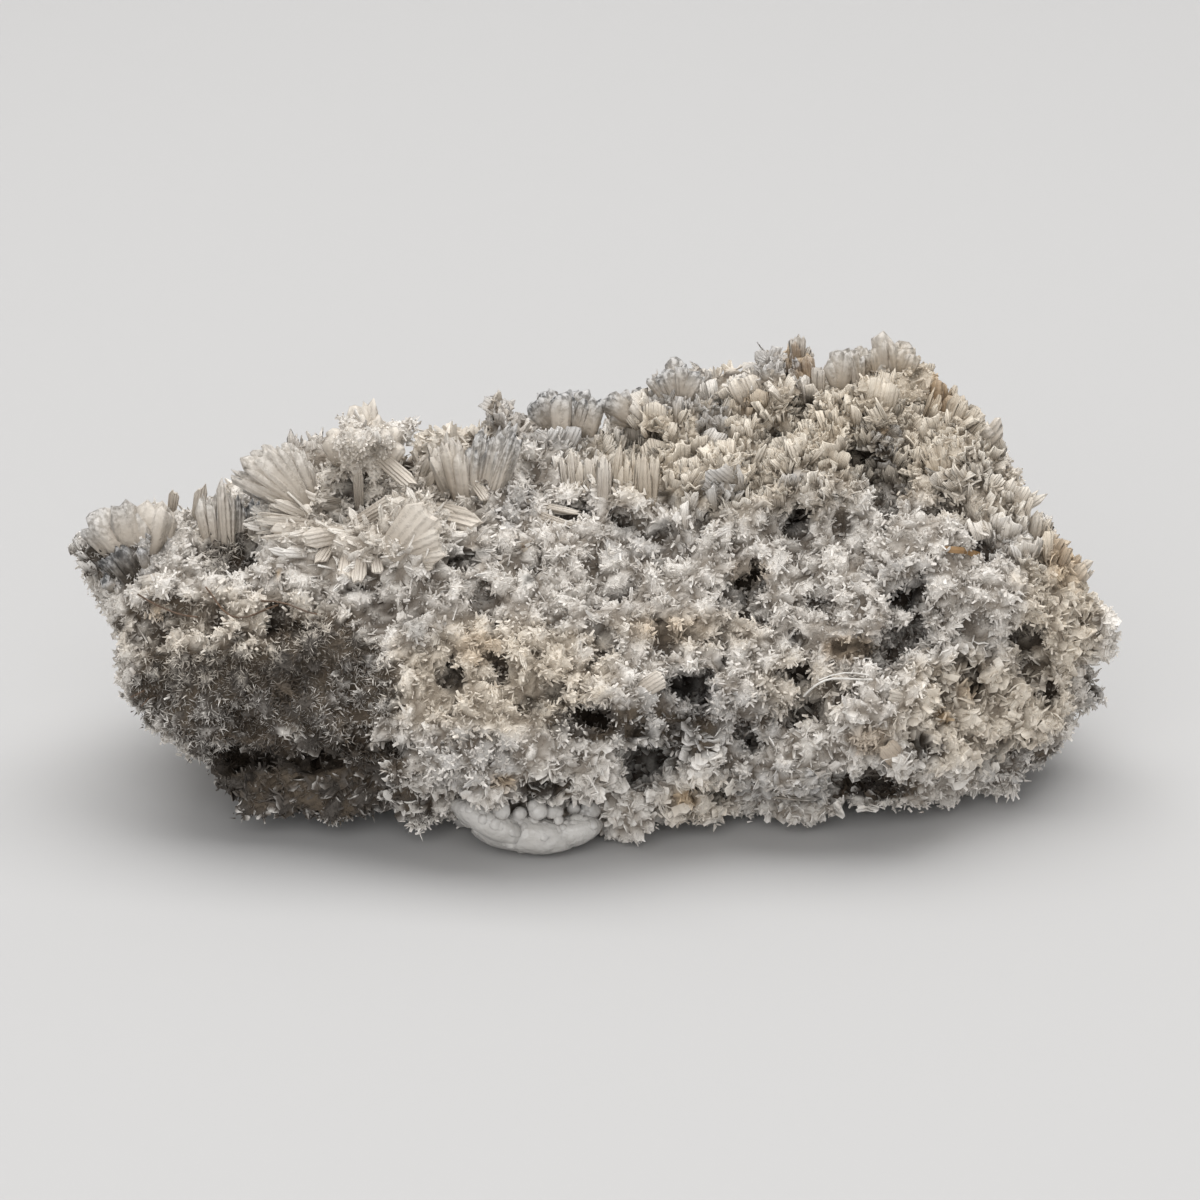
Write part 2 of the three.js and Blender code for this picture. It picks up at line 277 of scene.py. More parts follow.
# %% Name the sheaves
SHEAVES = {
    "left rosette": dict(hub=(-33.5, -1, 18), aim=(-0.5, -0.3, 0.8), spread=58, reach=6.6, draw=0.02),
    "left flutes": dict(hub=(-28.5, -1, 17.5), aim=(0, -0.2, 1), spread=30, reach=7, draw=0.25),
    "west fan": dict(hub=(-21.4, -1.5, 19.5), aim=(-0.55, -0.25, 0.85), spread=42, reach=9.2, draw=0.28),
    "west peak": dict(hub=(-17, 2, 21), aim=(-0.05, 0.1, 1), spread=34, reach=9.2, draw=0.02),
    "white star": dict(hub=(-15, -3.6, 19.5), aim=(0.1, -0.8, 0.6), spread=60, reach=8, draw=0.22),
    "upright fan": dict(hub=(-9.6, 0.5, 19), aim=(0.4, 0.05, 1), spread=33, reach=10, draw=0.26),
    "low spray": dict(hub=(-2.6, -3.6, 19.5), aim=(-0.2, -0.6, 0.6), spread=52, reach=5.6, draw=0.1),
    "block fan": dict(hub=(2, -1, 20), aim=(-0.05, -0.3, 1), spread=32, reach=8.6, draw=0.2),
    "grey horn": dict(hub=(-1.5, 5, 22.6), aim=(-0.15, 0.05, 1), spread=34, reach=7.8, draw=0.04),
    "cream fan": dict(hub=(8, -0.5, 21), aim=(0, -0.5, 0.85), spread=46, reach=8.6, draw=0.04),
    "middle crest": dict(hub=(6.5, 5.5, 24), aim=(0, 0.05, 1), spread=40, reach=7.2, draw=0.04),
    "east crest": dict(hub=(14, 6, 26), aim=(-0.1, 0, 1), spread=44, reach=7.4, draw=0.04),
    "east cream": dict(hub=(15.5, 0, 22.5), aim=(0.1, -0.7, 0.7), spread=50, reach=8, draw=0.04),
    "summit": dict(hub=(21.6, 6, 26), aim=(0.1, 0, 1), spread=46, reach=7.2, draw=0.03),
    "east brow": dict(hub=(25, 2, 23), aim=(0.35, -0.4, 0.85), spread=50, reach=7.6, draw=0.03),
    "right spread": dict(hub=(26.6, 0, 20), aim=(0.7, -0.5, 0.45), spread=50, reach=6.6, draw=0.03),
    "right edge": dict(hub=(31.5, 4.5, 15), aim=(0.8, 0, 0.6), spread=50, reach=5.2, draw=0.03),
    "back west": dict(hub=(-21, 8.5, 18.5), aim=(-0.1, 0.6, 0.8), spread=50, reach=7.8, draw=0.04),
    "back middle": dict(hub=(-7, 11, 19.5), aim=(0, 0.65, 0.75), spread=50, reach=7.8, draw=0.04),
    "back east": dict(hub=(7, 13, 22), aim=(0, 0.65, 0.75), spread=50, reach=7.8, draw=0.04),
    "back summit": dict(hub=(19, 13, 22), aim=(0.15, 0.65, 0.75), spread=50, reach=7.4, draw=0.04),
}

BARE_SHEAVES = ("left flutes", "west fan", "white star", "upright fan", "low spray", "block fan")

# %% [markdown]
# Besides the sheaves there are patches of ground, each placed by the picture point of its middle and by its
# half sizes in picture pixels: more of the crest's shells, frosted places where the crystals are too small to
# tell apart, and rocky places that carry chips. Painting them by hand would work too, but names and numbers
# can be read and changed one at a time.

# %% Name the patches
CREST_PATCHES = {
    "crest left": dict(at=(620, 446), half=(70, 72)),
    "crest middle": dict(at=(725, 436), half=(85, 80)),
    "crest right": dict(at=(860, 412), half=(110, 88)),
    "east slope": dict(at=(965, 432), half=(64, 64)),
}
FROSTED = {
    "wing": dict(at=(132, 526), half=(70, 46)),
    "peak": dict(at=(362, 432), half=(54, 46)),
    "summit": dict(at=(908, 374), half=(66, 32)),
}
ROCKY = {
    "low band": dict(at=(680, 786), half=(270, 66)),
    "right face": dict(at=(985, 716), half=(120, 84)),
    "right side": dict(at=(1084, 600), half=(36, 90)),
    "dark underside": dict(at=(300, 792), half=(160, 46)),
}
CREST_REACH = 9 * MM

# %% [markdown]
# ## Holes, clefts and hollows
# The front is full of holes, and where they sit gives the specimen its face. Each is named and placed by
# the point of the picture where it shows: a ray through that point finds the wall, and the wall is pushed
# in along the view. Width and height are half sizes in picture pixels, depth is in millimetres, and the
# last number says how dark the inside is painted: brown dust, and painted shade deep in the hole. The
# back, which no picture shows, gets smaller holes at random.

# %% Name the holes
HOLES = {
    "round vug": dict(at=(750, 581), half=(21, 20), depth=2.6, dirt_and_shade=0.6),
    "round vug floor": dict(at=(742, 596), half=(10, 7), depth=1.2, dirt_and_shade=1.0),
    "shelf vug": dict(at=(907, 601), half=(22, 13), depth=3.2, dirt_and_shade=1.0),
    "shelf vug roof": dict(at=(918, 587), half=(18, 9), depth=1.6, dirt_and_shade=0.8),
    "middle slot": dict(at=(456, 680), half=(17, 10), depth=2.8, dirt_and_shade=1.0),
    "dark vug": dict(at=(690, 686), half=(26, 16), depth=4.2, dirt_and_shade=1.0),
    "dark vug side": dict(at=(721, 663), half=(11, 8), depth=2.0, dirt_and_shade=0.9),
    "chimney": dict(at=(531, 706), half=(15, 11), depth=2.2, dirt_and_shade=0.9),
    "dark cleft": dict(at=(594, 720), half=(26, 11), depth=3.2, dirt_and_shade=1.0),
    "vein pit": dict(at=(640, 735), half=(16, 9), depth=2.2, dirt_and_shade=0.9),
    "vein pit right": dict(at=(676, 728), half=(12, 8), depth=2.0, dirt_and_shade=0.8),
    "cream edge": dict(at=(560, 690), half=(14, 8), depth=1.8, dirt_and_shade=0.8),
    "left of the chimney": dict(at=(505, 672), half=(9, 7), depth=1.6, dirt_and_shade=0.7),
    "grey hollow": dict(at=(646, 766), half=(34, 28), depth=3.2, dirt_and_shade=0.5),
    "brown pit": dict(at=(659, 628), half=(15, 11), depth=1.6, dirt_and_shade=0.7),
    "brown dimple": dict(at=(692, 630), half=(10, 8), depth=1.6, dirt_and_shade=0.7),
    "thin pit": dict(at=(605, 633), half=(7, 13), depth=1.6, dirt_and_shade=0.7),
    "fibre vug": dict(at=(799, 676), half=(15, 12), depth=2.6, dirt_and_shade=1.0),
    "fibre vug floor": dict(at=(812, 709), half=(15, 11), depth=2.6, dirt_and_shade=0.9),
    "lower vug": dict(at=(752, 744), half=(10, 15), depth=2.2, dirt_and_shade=0.9),
    "foot cracks": dict(at=(545, 788), half=(26, 12), depth=1.4, dirt_and_shade=0.9),
    "low arch": dict(at=(723, 800), half=(12, 9), depth=1.8, dirt_and_shade=0.8),
    "brown slot": dict(at=(970, 664), half=(24, 7), depth=2.8, dirt_and_shade=0.9),
    "brown slot stem": dict(at=(976, 685), half=(8, 17), depth=2.8, dirt_and_shade=0.9),
    "shelf cave": dict(at=(1028, 636), half=(22, 16), depth=2.6, dirt_and_shade=0.7),
    "right gap": dict(at=(1050, 690), half=(9, 19), depth=2.2, dirt_and_shade=0.6),
    "ochre corner": dict(at=(854, 645), half=(20, 10), depth=1.8, dirt_and_shade=0.6),
    "blue vug": dict(at=(923, 745), half=(16, 15), depth=2.2, dirt_and_shade=0.8),
    "heel gap": dict(at=(876, 784), half=(28, 11), depth=3.6, dirt_and_shade=1.0),
    "heel nick": dict(at=(851, 745), half=(5, 9), depth=1.5, dirt_and_shade=0.8),
    "left cave": dict(at=(272, 624), half=(13, 15), depth=2.2, dirt_and_shade=0.9),
    "left cave mouth": dict(at=(239, 634), half=(12, 8), depth=1.8, dirt_and_shade=0.8),
    "thatch gap": dict(at=(297, 631), half=(15, 8), depth=1.4, dirt_and_shade=0.8),
    "left eye": dict(at=(157, 663), half=(9, 6), depth=1.4, dirt_and_shade=0.8),
    "ledge crevice": dict(at=(372, 750), half=(58, 9), depth=3.6, dirt_and_shade=1.0),
    "dark hollow": dict(at=(236, 764), half=(50, 17), depth=3.0, dirt_and_shade=1.0),
    "dark hollow floor": dict(at=(318, 766), half=(44, 14), depth=2.6, dirt_and_shade=1.0),
    "cream gap": dict(at=(746, 461), half=(17, 8), depth=2.2, dirt_and_shade=0.8),
    "cream gap above": dict(at=(776, 431), half=(13, 10), depth=2.0, dirt_and_shade=0.6),
    "cream gap left": dict(at=(650, 452), half=(12, 9), depth=1.6, dirt_and_shade=0.6),
    "cream gap below": dict(at=(623, 527), half=(13, 7), depth=1.8, dirt_and_shade=0.7),
    "star shade": dict(at=(400, 470), half=(12, 8), depth=1.6, dirt_and_shade=0.5),
    "under the star": dict(at=(350, 586), half=(16, 6), depth=1.6, dirt_and_shade=0.9),
    "beside the star": dict(at=(466, 558), half=(24, 9), depth=2.6, dirt_and_shade=0.8),
    "below the notch": dict(at=(529, 575), half=(10, 6), depth=1.8, dirt_and_shade=0.9),
    "small bowl": dict(at=(482, 600), half=(18, 10), depth=1.6, dirt_and_shade=0.6),
    "west shade": dict(at=(250, 547), half=(17, 11), depth=2.2, dirt_and_shade=0.7),
    "crest recess": dict(at=(861, 458), half=(20, 26), depth=3.4, dirt_and_shade=0.7),
    "crest cleft": dict(at=(800, 521), half=(15, 15), depth=3.2, dirt_and_shade=1.0),
    "crest slot": dict(at=(669, 495), half=(18, 8), depth=1.8, dirt_and_shade=0.8),
    "crest nick": dict(at=(703, 515), half=(12, 7), depth=1.6, dirt_and_shade=0.8),
    "east nick": dict(at=(939, 484), half=(14, 6), depth=1.8, dirt_and_shade=0.7),
    "ochre shade": dict(at=(804, 403), half=(11, 13), depth=1.8, dirt_and_shade=0.5),
    "white nick": dict(at=(663, 532), half=(12, 6), depth=1.4, dirt_and_shade=0.7),
    "shelf pinholes": dict(at=(790, 640), half=(12, 8), depth=1.4, dirt_and_shade=0.7),
    "right foot pit": dict(at=(1000, 745), half=(10, 8), depth=1.4, dirt_and_shade=0.6),
    "middle bowl": dict(at=(410, 628), half=(16, 10), depth=1.2, dirt_and_shade=0.4),
}

SECOND_VOXEL = 0.42 * MM
WALL_REACH = 5 * MM
WARP_SIZE = 1.6 * MM
WARP_REACH = 0.9 * MM
PIT_CELL = 3.4 * MM
PIT_RADIUS = 1.4 * MM
PIT_DEPTH = 2.2 * MM
PIT_SHARE = 0.55
PIT_MIXER = 17.3
CREST_INSET = 0.25 * MM
LUMPS = ((5.2 * MM, 2.5 * MM, 3.1), (2.6 * MM, 1.3 * MM, 8.7))
CAST_LIMIT = 1.0
HOLE_STEEPNESS = 0.75
HOLE_DEEPENING = 1.5
CLUMP_MEAN = 0.26
EDGE_STEEPNESS = 3
CONE_SLACK = 12
CREST_SLACK = -6
CONE_FADE = 20
CONE_MIDDLE = 0.5
CONE_START = 0.8
FROST_CLEARING = 0.85


def wall_finder(piece):
    """A search tree of the piece's faces, for casting rays at it."""
    mesh = piece.data
    return BVHTree.FromPolygons([v.co for v in mesh.vertices], [p.vertices for p in mesh.polygons])


def seen_at(tree, at):
    """The place and normal of the wall that the picture shows at a point, or the nearest one to it."""
    ray = ray_through(*at)
    place, normal, _, _ = tree.ray_cast(eye, ray, CAST_LIMIT)
    if place is None:
        place, normal, _, _ = tree.find_nearest(eye + ray * (AIM - eye).length)
    return np.array(place), np.array(normal)


def closeness(points, centre, half, reach):
    """1 at the centre of an ellipsoid that faces the eye, falling to 0 at its surface."""
    away = points - centre
    across = away[:, 0] / (half[0] / PIXELS_PER_MM * MM)
    upward = away @ np.array(picture_up) / (half[1] / PIXELS_PER_MM * MM)
    inward = away @ np.array(forward) / reach
    return np.clip(1 - across**2 - upward**2 - inward**2, 0, 1)


def soft_step(values):
    """0 below 0, 1 above 1 and a smooth rise between."""
    steady = np.clip(values, 0, 1)
    return steady * steady * (3 - 2 * steady)


def clumps(points, wavelength, offset):
    """Folded noise from 0 to about 1: rounded lumps with sharp creases between them."""
    shift = Vector((offset, offset, offset))
    return np.array([abs(noise.noise(Vector(p) / wavelength + shift)) for p in points])


def warped(points):
    """The points shifted by coarse noise, which turns round edges ragged."""
    shift = [noise.noise_vector(Vector(p) / WARP_SIZE) * WARP_REACH for p in points]
    return points + np.array(shift)


def pits_at(points):
    """1 at the middle of the scattered pits, 0 between them."""
    found = np.zeros(len(points))
    for i, point in enumerate(points):
        distances, centres = noise.voronoi(Vector(point) / PIT_CELL)
        if noise.cell(centres[0] * PIT_MIXER) < PIT_SHARE:
            found[i] = max(0.0, 1 - (distances[0] * PIT_CELL / PIT_RADIUS) ** 2)
    return found


def inside_sheaf(points, sheaf, slack=CONE_SLACK):
    """1 in the outer part of a sheaf's cone, 0 away from it, and each point's way from the hub."""
    hub = np.array(sheaf["hub"]) * MM
    away = points - hub
    distance = np.linalg.norm(away, axis=1)
    aim = np.array(sheaf["aim"]) / np.linalg.norm(sheaf["aim"])
    turn = np.degrees(np.arccos(np.clip(away @ aim / np.maximum(distance, 0.01 * MM), -1, 1)))
    cone = soft_step((sheaf["spread"] + slack - turn) / CONE_FADE)
    return cone * soft_step(distance / (sheaf["reach"] * MM) / CONE_MIDDLE - CONE_START), away


def patch_cover(points, patches):
    """1 well inside any of the patches, 0 outside them all."""
    cover = np.zeros(len(points))
    for name, patch in patches.items():
        near = closeness(points, patch_centres[name], patch["half"], CREST_REACH)
        cover = np.maximum(cover, soft_step(EDGE_STEEPNESS * near))
    return cover


def crest_at(points):
    """1 where the shell-like blades of the crest grow, 0 elsewhere."""
    cover = np.zeros(len(points))
    for name, sheaf in SHEAVES.items():
        if name not in BARE_SHEAVES:
            cover = np.maximum(cover, inside_sheaf(points, sheaf, slack=CREST_SLACK)[0])
    cover = np.maximum(cover, patch_cover(points, CREST_PATCHES))
    return cover * (1 - FROST_CLEARING * patch_cover(points, FROSTED))


def drawn_back(points):
    """The points inside each sheaf, drawn towards its hub so that the blades stand free."""
    for sheaf in SHEAVES.values():
        inside, away = inside_sheaf(points, sheaf)
        points = points - away * (sheaf["draw"] * inside)[:, None]
    return points


body_tree = wall_finder(body)
hole_centres = {name: seen_at(body_tree, hole["at"])[0] for name, hole in HOLES.items()}
patches = {**CREST_PATCHES, **FROSTED, **ROCKY}
patch_centres = {name: seen_at(body_tree, patch["at"])[0] for name, patch in patches.items()}
points = points_of(body)
ragged_points = warped(points)
push = np.zeros(len(points))
for name, hole in HOLES.items():
    near = closeness(ragged_points, hole_centres[name], hole["half"], WALL_REACH)
    push = np.maximum(push, HOLE_DEEPENING * hole["depth"] * MM * near**HOLE_STEEPNESS)
lumps = sum(height * (clumps(points, width, offset) - CLUMP_MEAN) for width, height, offset in LUMPS)
inward = BODY_INSET + PIT_DEPTH * pits_at(ragged_points) + CREST_INSET * crest_at(points)
points = points + normals_of(body) * (lumps - inward)[:, None] + np.array(forward) * push[:, None]
points = drawn_back(points)
move_points(body, points)
remesh(body, SECOND_VOXEL)
print("body with its holes:", len(body.data.polygons), "faces")

# %% [markdown]
# ## Fine relief
# Close up, the rock is a mass of tufts, each grown from a seed of its own, with gaps between them that are
# painted brown, as dust and as painted shade. A cell pattern gives every point its tuft: the middle swells,
# the edge sinks, and the crystals that are added later lean away from that middle. How deep a point lies
# below its smoothed surroundings is kept too, so that such creases can be painted darker with dust and
# painted shade.

# %% Swell the tufts and measure the creases
TUFT_CELL = 1.8 * MM
TUFT_HEIGHT = 0.75 * MM
TUFT_EDGE = 0.42
TUFT_MEAN = 0.6
CRUMB_WIDTH = 0.85 * MM
CRUMB_HEIGHT = 0.3 * MM
CRUMB_OFFSET = 5.9
CREASE_STEPS = 12
CREASE_DEPTH = 0.5 * MM
CREASE_START = 0.2
GAP_SHADE = 0.9
HOLLOW_STEPS = 110
HOLLOW_DEPTH = 1.3 * MM
FROST_CALM = 0.65
FROST_FILLS_CREASES = 0.7
FROST_FILLS_HOLLOWS = 0.5


def tufts_at(points):
    """For each point 0 at the edge of its tuft and 1 well inside, and the middle of that tuft."""
    inside, middles = np.zeros(len(points)), np.zeros((len(points), 3))
    for i, point in enumerate(warped(points)):
        distances, centres = noise.voronoi(Vector(point) / TUFT_CELL)
        inside[i] = (distances[1] - distances[0]) / TUFT_EDGE
        middles[i] = centres[0]
    return soft_step(inside), middles * TUFT_CELL


def neighbour_mean(values, pairs, counts):
    """The mean of each vertex's neighbours."""
    total = np.zeros_like(values)
    np.add.at(total, pairs[:, 0], values[pairs[:, 1]])
    np.add.at(total, pairs[:, 1], values[pairs[:, 0]])
    return total / counts[:, None]


def depth_below_neighbours(piece, steps):
    """How far each point lies below the surface smoothed in that many steps."""
    points = points_of(piece)
    pairs = np.empty(2 * len(piece.data.edges), int)
    piece.data.edges.foreach_get("vertices", pairs)
    pairs = pairs.reshape(-1, 2)
    counts = np.maximum(np.bincount(pairs.ravel(), minlength=len(points)), 1)
    outward = normals_of(piece)
    smooth = points
    for _ in range(steps):
        smooth = neighbour_mean(smooth, pairs, counts)
    return np.linalg.norm(smooth - points, axis=1) * np.sign(((smooth - points) * outward).sum(axis=1))


points = points_of(body)
tufts, tuft_middles = tufts_at(points)
from_middle = points - tuft_middles
frost = patch_cover(points, FROSTED)
swell = TUFT_HEIGHT * (tufts - TUFT_MEAN) * (1 - FROST_CALM * frost)
swell += CRUMB_HEIGHT * (clumps(points, CRUMB_WIDTH, CRUMB_OFFSET) - CLUMP_MEAN)
points = points + normals_of(body) * swell[:, None]
points[:, 2] = np.maximum(points[:, 2], low[2])
move_points(body, points)
# Painted shade and dust: creases and the gaps between tufts are measured here to be painted darker.
creases = np.clip(depth_below_neighbours(body, CREASE_STEPS) / CREASE_DEPTH + CREASE_START, 0, 1)
creases = np.maximum(creases, GAP_SHADE * (1 - tufts)) * (1 - FROST_FILLS_CREASES * frost)
# Painted shade and dust: broad hollows are measured here to be painted darker.
hollows = soft_step(depth_below_neighbours(body, HOLLOW_STEPS) / HOLLOW_DEPTH)
hollows = hollows * (1 - FROST_FILLS_HOLLOWS * frost)
print(f"creases cover {creases.mean():.0%} of the body and hollows {hollows.mean():.0%}")

# %% [markdown]
# ## Where the colours and the painted shade lie
# Clean albite is white. Iron and clay stain it cream and ochre, clay coats it blue-grey, and the lower left
# is nearly black with dust caught between matted needles and with painted shade under its overhang. The
# darkest tint also holds painted shade in the recess, at the heel and between plates. Each stain is a soft
# patch, named and placed like the holes, with a ragged edge. The result is one number per point and tint,
# kept as mesh attributes, so that the crystals that grow on a point take over its tints.

# %% Name the stains
STAINS = {
    # Dust and painted shade: the dark underside, the floor side, the heel, the recess and the shade among the
    # cream plates and the flutes are painted shade.
    "grime_and_shade": {
        "dark underside": dict(at=(300, 775), half=(150, 48), strength=0.97),
        "floor side": dict(at=(290, 812), half=(170, 40), strength=0.7),
        "matted slope": dict(at=(215, 700), half=(125, 66), strength=0.62),
        "matted right": dict(at=(335, 690), half=(80, 60), strength=0.55),
        "thatch": dict(at=(320, 640), half=(60, 30), strength=0.5),
        "wing speckle": dict(at=(112, 560), half=(40, 26), strength=0.6),
        "wing root": dict(at=(170, 610), half=(60, 26), strength=0.3),
        "flute shade": dict(at=(228, 540), half=(30, 44), strength=0.6),
        "middle vein": dict(at=(600, 722), half=(66, 20), strength=0.75),
        "vein end": dict(at=(690, 735), half=(44, 30), strength=0.6),
        "foot crack": dict(at=(545, 788), half=(40, 16), strength=0.65),
        "heel shade": dict(at=(880, 786), half=(46, 16), strength=0.85),
        "cream shade": dict(at=(706, 462), half=(40, 30), strength=0.25),
        "east cream shade": dict(at=(800, 470), half=(46, 34), strength=0.25),
        "blue vug": dict(at=(925, 748), half=(24, 22), strength=0.5),
        "right heel": dict(at=(1040, 752), half=(50, 20), strength=0.35),
        "recess": dict(at=(866, 456), half=(34, 34), strength=0.5),
        "black spot": dict(at=(119, 625), half=(7, 8), strength=1.0),
    },
    "grey": {
        "wing": dict(at=(120, 545), half=(60, 50), strength=0.55),
        "west tips": dict(at=(238, 480), half=(22, 34), strength=0.95),
        "fan tips": dict(at=(508, 420), half=(26, 24), strength=0.9),
        "horn tips": dict(at=(565, 398), half=(46, 22), strength=0.8),
        "middle tips": dict(at=(675, 378), half=(44, 20), strength=0.8),
        "east tips": dict(at=(768, 360), half=(36, 18), strength=0.75),
        "summit tips": dict(at=(880, 345), half=(44, 14), strength=0.5),
        "crust on the cream": dict(at=(714, 428), half=(20, 30), strength=1.0),
        "crust below it": dict(at=(726, 487), half=(28, 16), strength=0.9),
        "crust in the notch": dict(at=(516, 508), half=(24, 24), strength=1.0),
        "east crust": dict(at=(885, 450), half=(24, 30), strength=0.7),
        "small crust": dict(at=(800, 478), half=(20, 10), strength=0.7),
        "white top shade": dict(at=(640, 548), half=(60, 18), strength=0.35),
        "middle band": dict(at=(690, 720), half=(110, 46), strength=0.75),
        "left of the vein": dict(at=(470, 760), half=(60, 40), strength=0.5),
        "front foot": dict(at=(780, 790), half=(70, 30), strength=0.7),
        "right underside": dict(at=(1030, 765), half=(80, 30), strength=0.5),
        "right knob": dict(at=(1100, 700), half=(20, 24), strength=0.7),
        "thatch grey": dict(at=(330, 660), half=(50, 24), strength=0.5),
        "lower rim": dict(at=(300, 806), half=(120, 14), strength=0.6),
        "shelf grey": dict(at=(900, 575), half=(50, 20), strength=0.35),
    },
    "cream": {
        "middle cream": dict(at=(500, 680), half=(130, 70), strength=0.75),
        "left slope": dict(at=(230, 640), half=(150, 60), strength=0.55),
        "crest mass": dict(at=(740, 450), half=(200, 85), strength=0.85),
        "east crest": dict(at=(900, 410), half=(120, 95), strength=0.9),
        "east slope": dict(at=(980, 480), half=(90, 60), strength=0.6),
        "star": dict(at=(370, 510), half=(130, 90), strength=0.35),
        "upright fan": dict(at=(470, 460), half=(60, 50), strength=0.45),
        "flutes": dict(at=(228, 530), half=(36, 50), strength=0.45),
        "right face": dict(at=(980, 710), half=(140, 70), strength=0.7),
        "right edge": dict(at=(1060, 600), half=(60, 110), strength=0.8),
        "front lump": dict(at=(700, 800), half=(50, 30), strength=0.5),
        "pit surround": dict(at=(690, 630), half=(90, 26), strength=0.5),
        "vug surround": dict(at=(800, 690), half=(60, 40), strength=0.5),
    },
    "ochre": {
        "crest ochre": dict(at=(800, 350), half=(16, 22), strength=0.8),
        "east ochre": dict(at=(957, 388), half=(14, 26), strength=0.8),
        "ochre corner": dict(at=(850, 648), half=(34, 16), strength=0.65),
        "yellow spot": dict(at=(942, 716), half=(9, 8), strength=0.9),
        "brown fan": dict(at=(870, 740), half=(22, 18), strength=0.45),
        "slot rim": dict(at=(968, 690), half=(16, 14), strength=0.45),
        "edge ochre": dict(at=(1062, 560), half=(26, 40), strength=0.5),
        "pit brown": dict(at=(745, 575), half=(26, 20), strength=0.45),
        "brown pits": dict(at=(670, 630), half=(44, 16), strength=0.4),
        "foot ochre": dict(at=(505, 782), half=(14, 10), strength=0.7),
        "lump ochre": dict(at=(684, 798), half=(18, 9), strength=0.7),
        "middle brown": dict(at=(480, 648), half=(30, 18), strength=0.35),
        "fan ochre": dict(at=(750, 405), half=(14, 12), strength=0.5),
        "left fleck": dict(at=(157, 608), half=(10, 10), strength=0.6),
        "red fleck": dict(at=(525, 545), half=(4, 4), strength=1.0),
        "left red fleck": dict(at=(277, 575), half=(4, 4), strength=1.0),
        "recess fleck": dict(at=(882, 430), half=(5, 6), strength=0.9),
    },
}
STAIN_REACH = 11 * MM
STAIN_EDGE = 0.55
BACK_STAINS = {"grime_and_shade": 0.25, "grey": 0.4, "cream": 0.6, "ochre": 0.12}
BACK_BLOTCH = 9 * MM
BACK_START = 4 * MM
BACK_BLEND = 8 * MM
RAGGED_COARSE = 1.9 * MM
RAGGED_FINE = 0.8 * MM
DIRT_AND_SHADE_MIDDLE = 0.8
DIRT_AND_SHADE_REACH = 1.2
DIRT_AND_SHADE_STEEPNESS = 1.6
TUFT_TIP = 0.75

body_tree = wall_finder(body)
stain_centres = {
    (tint, name): seen_at(body_tree, stain["at"])[0]
    for tint, stains in STAINS.items()
    for name, stain in stains.items()
}


def noise_at(points, wavelength, offset):
    """Smooth noise between about -1 and 1."""
    shift = Vector((offset, -offset, offset))
    return np.array([noise.noise(Vector(p) / wavelength + shift) for p in points])


def tints_at(points):
    """The strength of each tint at each point."""
    ragged = noise_at(points, RAGGED_COARSE, 4.2) + 0.6 * noise_at(points, RAGGED_FINE, 9.1)
    blotches = noise_at(points, BACK_BLOTCH, 2.7)
    behind = soft_step((points[:, 1] - BACK_START) / BACK_BLEND)
    tints = {}
    for order, (tint, stains) in enumerate(STAINS.items()):
        cover = np.zeros(len(points))
        for name, stain in stains.items():
            near = closeness(points, stain_centres[tint, name], stain["half"], STAIN_REACH)
            near = np.where(near > 0, near + STAIN_EDGE * ragged * (1 - near), 0)
            cover = 1 - (1 - cover) * (1 - stain["strength"] * soft_step(1.5 * near))
        sign = 1 if order % 2 else -1
        back = BACK_STAINS[tint] * soft_step(0.5 + 1.3 * np.roll(blotches, order) * sign)
        tints[tint] = np.maximum(cover, behind * back)
    return tints


# Painted shade and dust: each hole is darkened inside, most deeply towards its back.
def hole_dirt_and_shade_at(points):
    """1 deep inside the darkest holes, 0 outside every hole."""
    dirt_and_shade = np.zeros(len(points))
    points = warped(points)
    for name, hole in HOLES.items():
        centre = hole_centres[name] + np.array(forward) * hole["depth"] * MM * DIRT_AND_SHADE_MIDDLE
        inside = closeness(points, centre, hole["half"], (hole["depth"] + DIRT_AND_SHADE_REACH) * MM)
        dirt_and_shade = np.maximum(dirt_and_shade, hole["dirt_and_shade"] * soft_step(DIRT_AND_SHADE_STEEPNESS * inside))
    return dirt_and_shade


def store(piece, name, values):
    """Keeps one number per point of the mesh under a name."""
    attribute = piece.data.attributes.new(name, "FLOAT", "POINT")
    attribute.data.foreach_set("value", values.astype(np.float32))


points = points_of(body)
body_tints = tints_at(points)
body_dirt_and_shade = hole_dirt_and_shade_at(points)
for tint, values in body_tints.items():
    store(body, tint, values)
    print(f"{tint}: covers {float(values.mean()):.0%} of the body")
# Painted light: tuft middles count as crystal ends, which the colour paints lighter.
store(body, "tip", TUFT_TIP * tufts)
store(body, "dirt_and_shade", body_dirt_and_shade)
store(body, "hollow", hollows)

# %% [markdown]
# ## Albite as a material
# Albite scatters light like fine sugar: pale, without deep colour, with small glassy faces. Light could be
# let a little way in at thin edges, but in crystals as small as these it would hardly show, so the finish
# is opaque and only the glassy foot lets light through. The colour is built from the tints. One small class
# makes node sockets usable in Python expressions, so the recipe below reads as arithmetic.
# The colour also holds painted light and shade: crystal ends are painted lighter, and creases, hollows and
# holes darker.

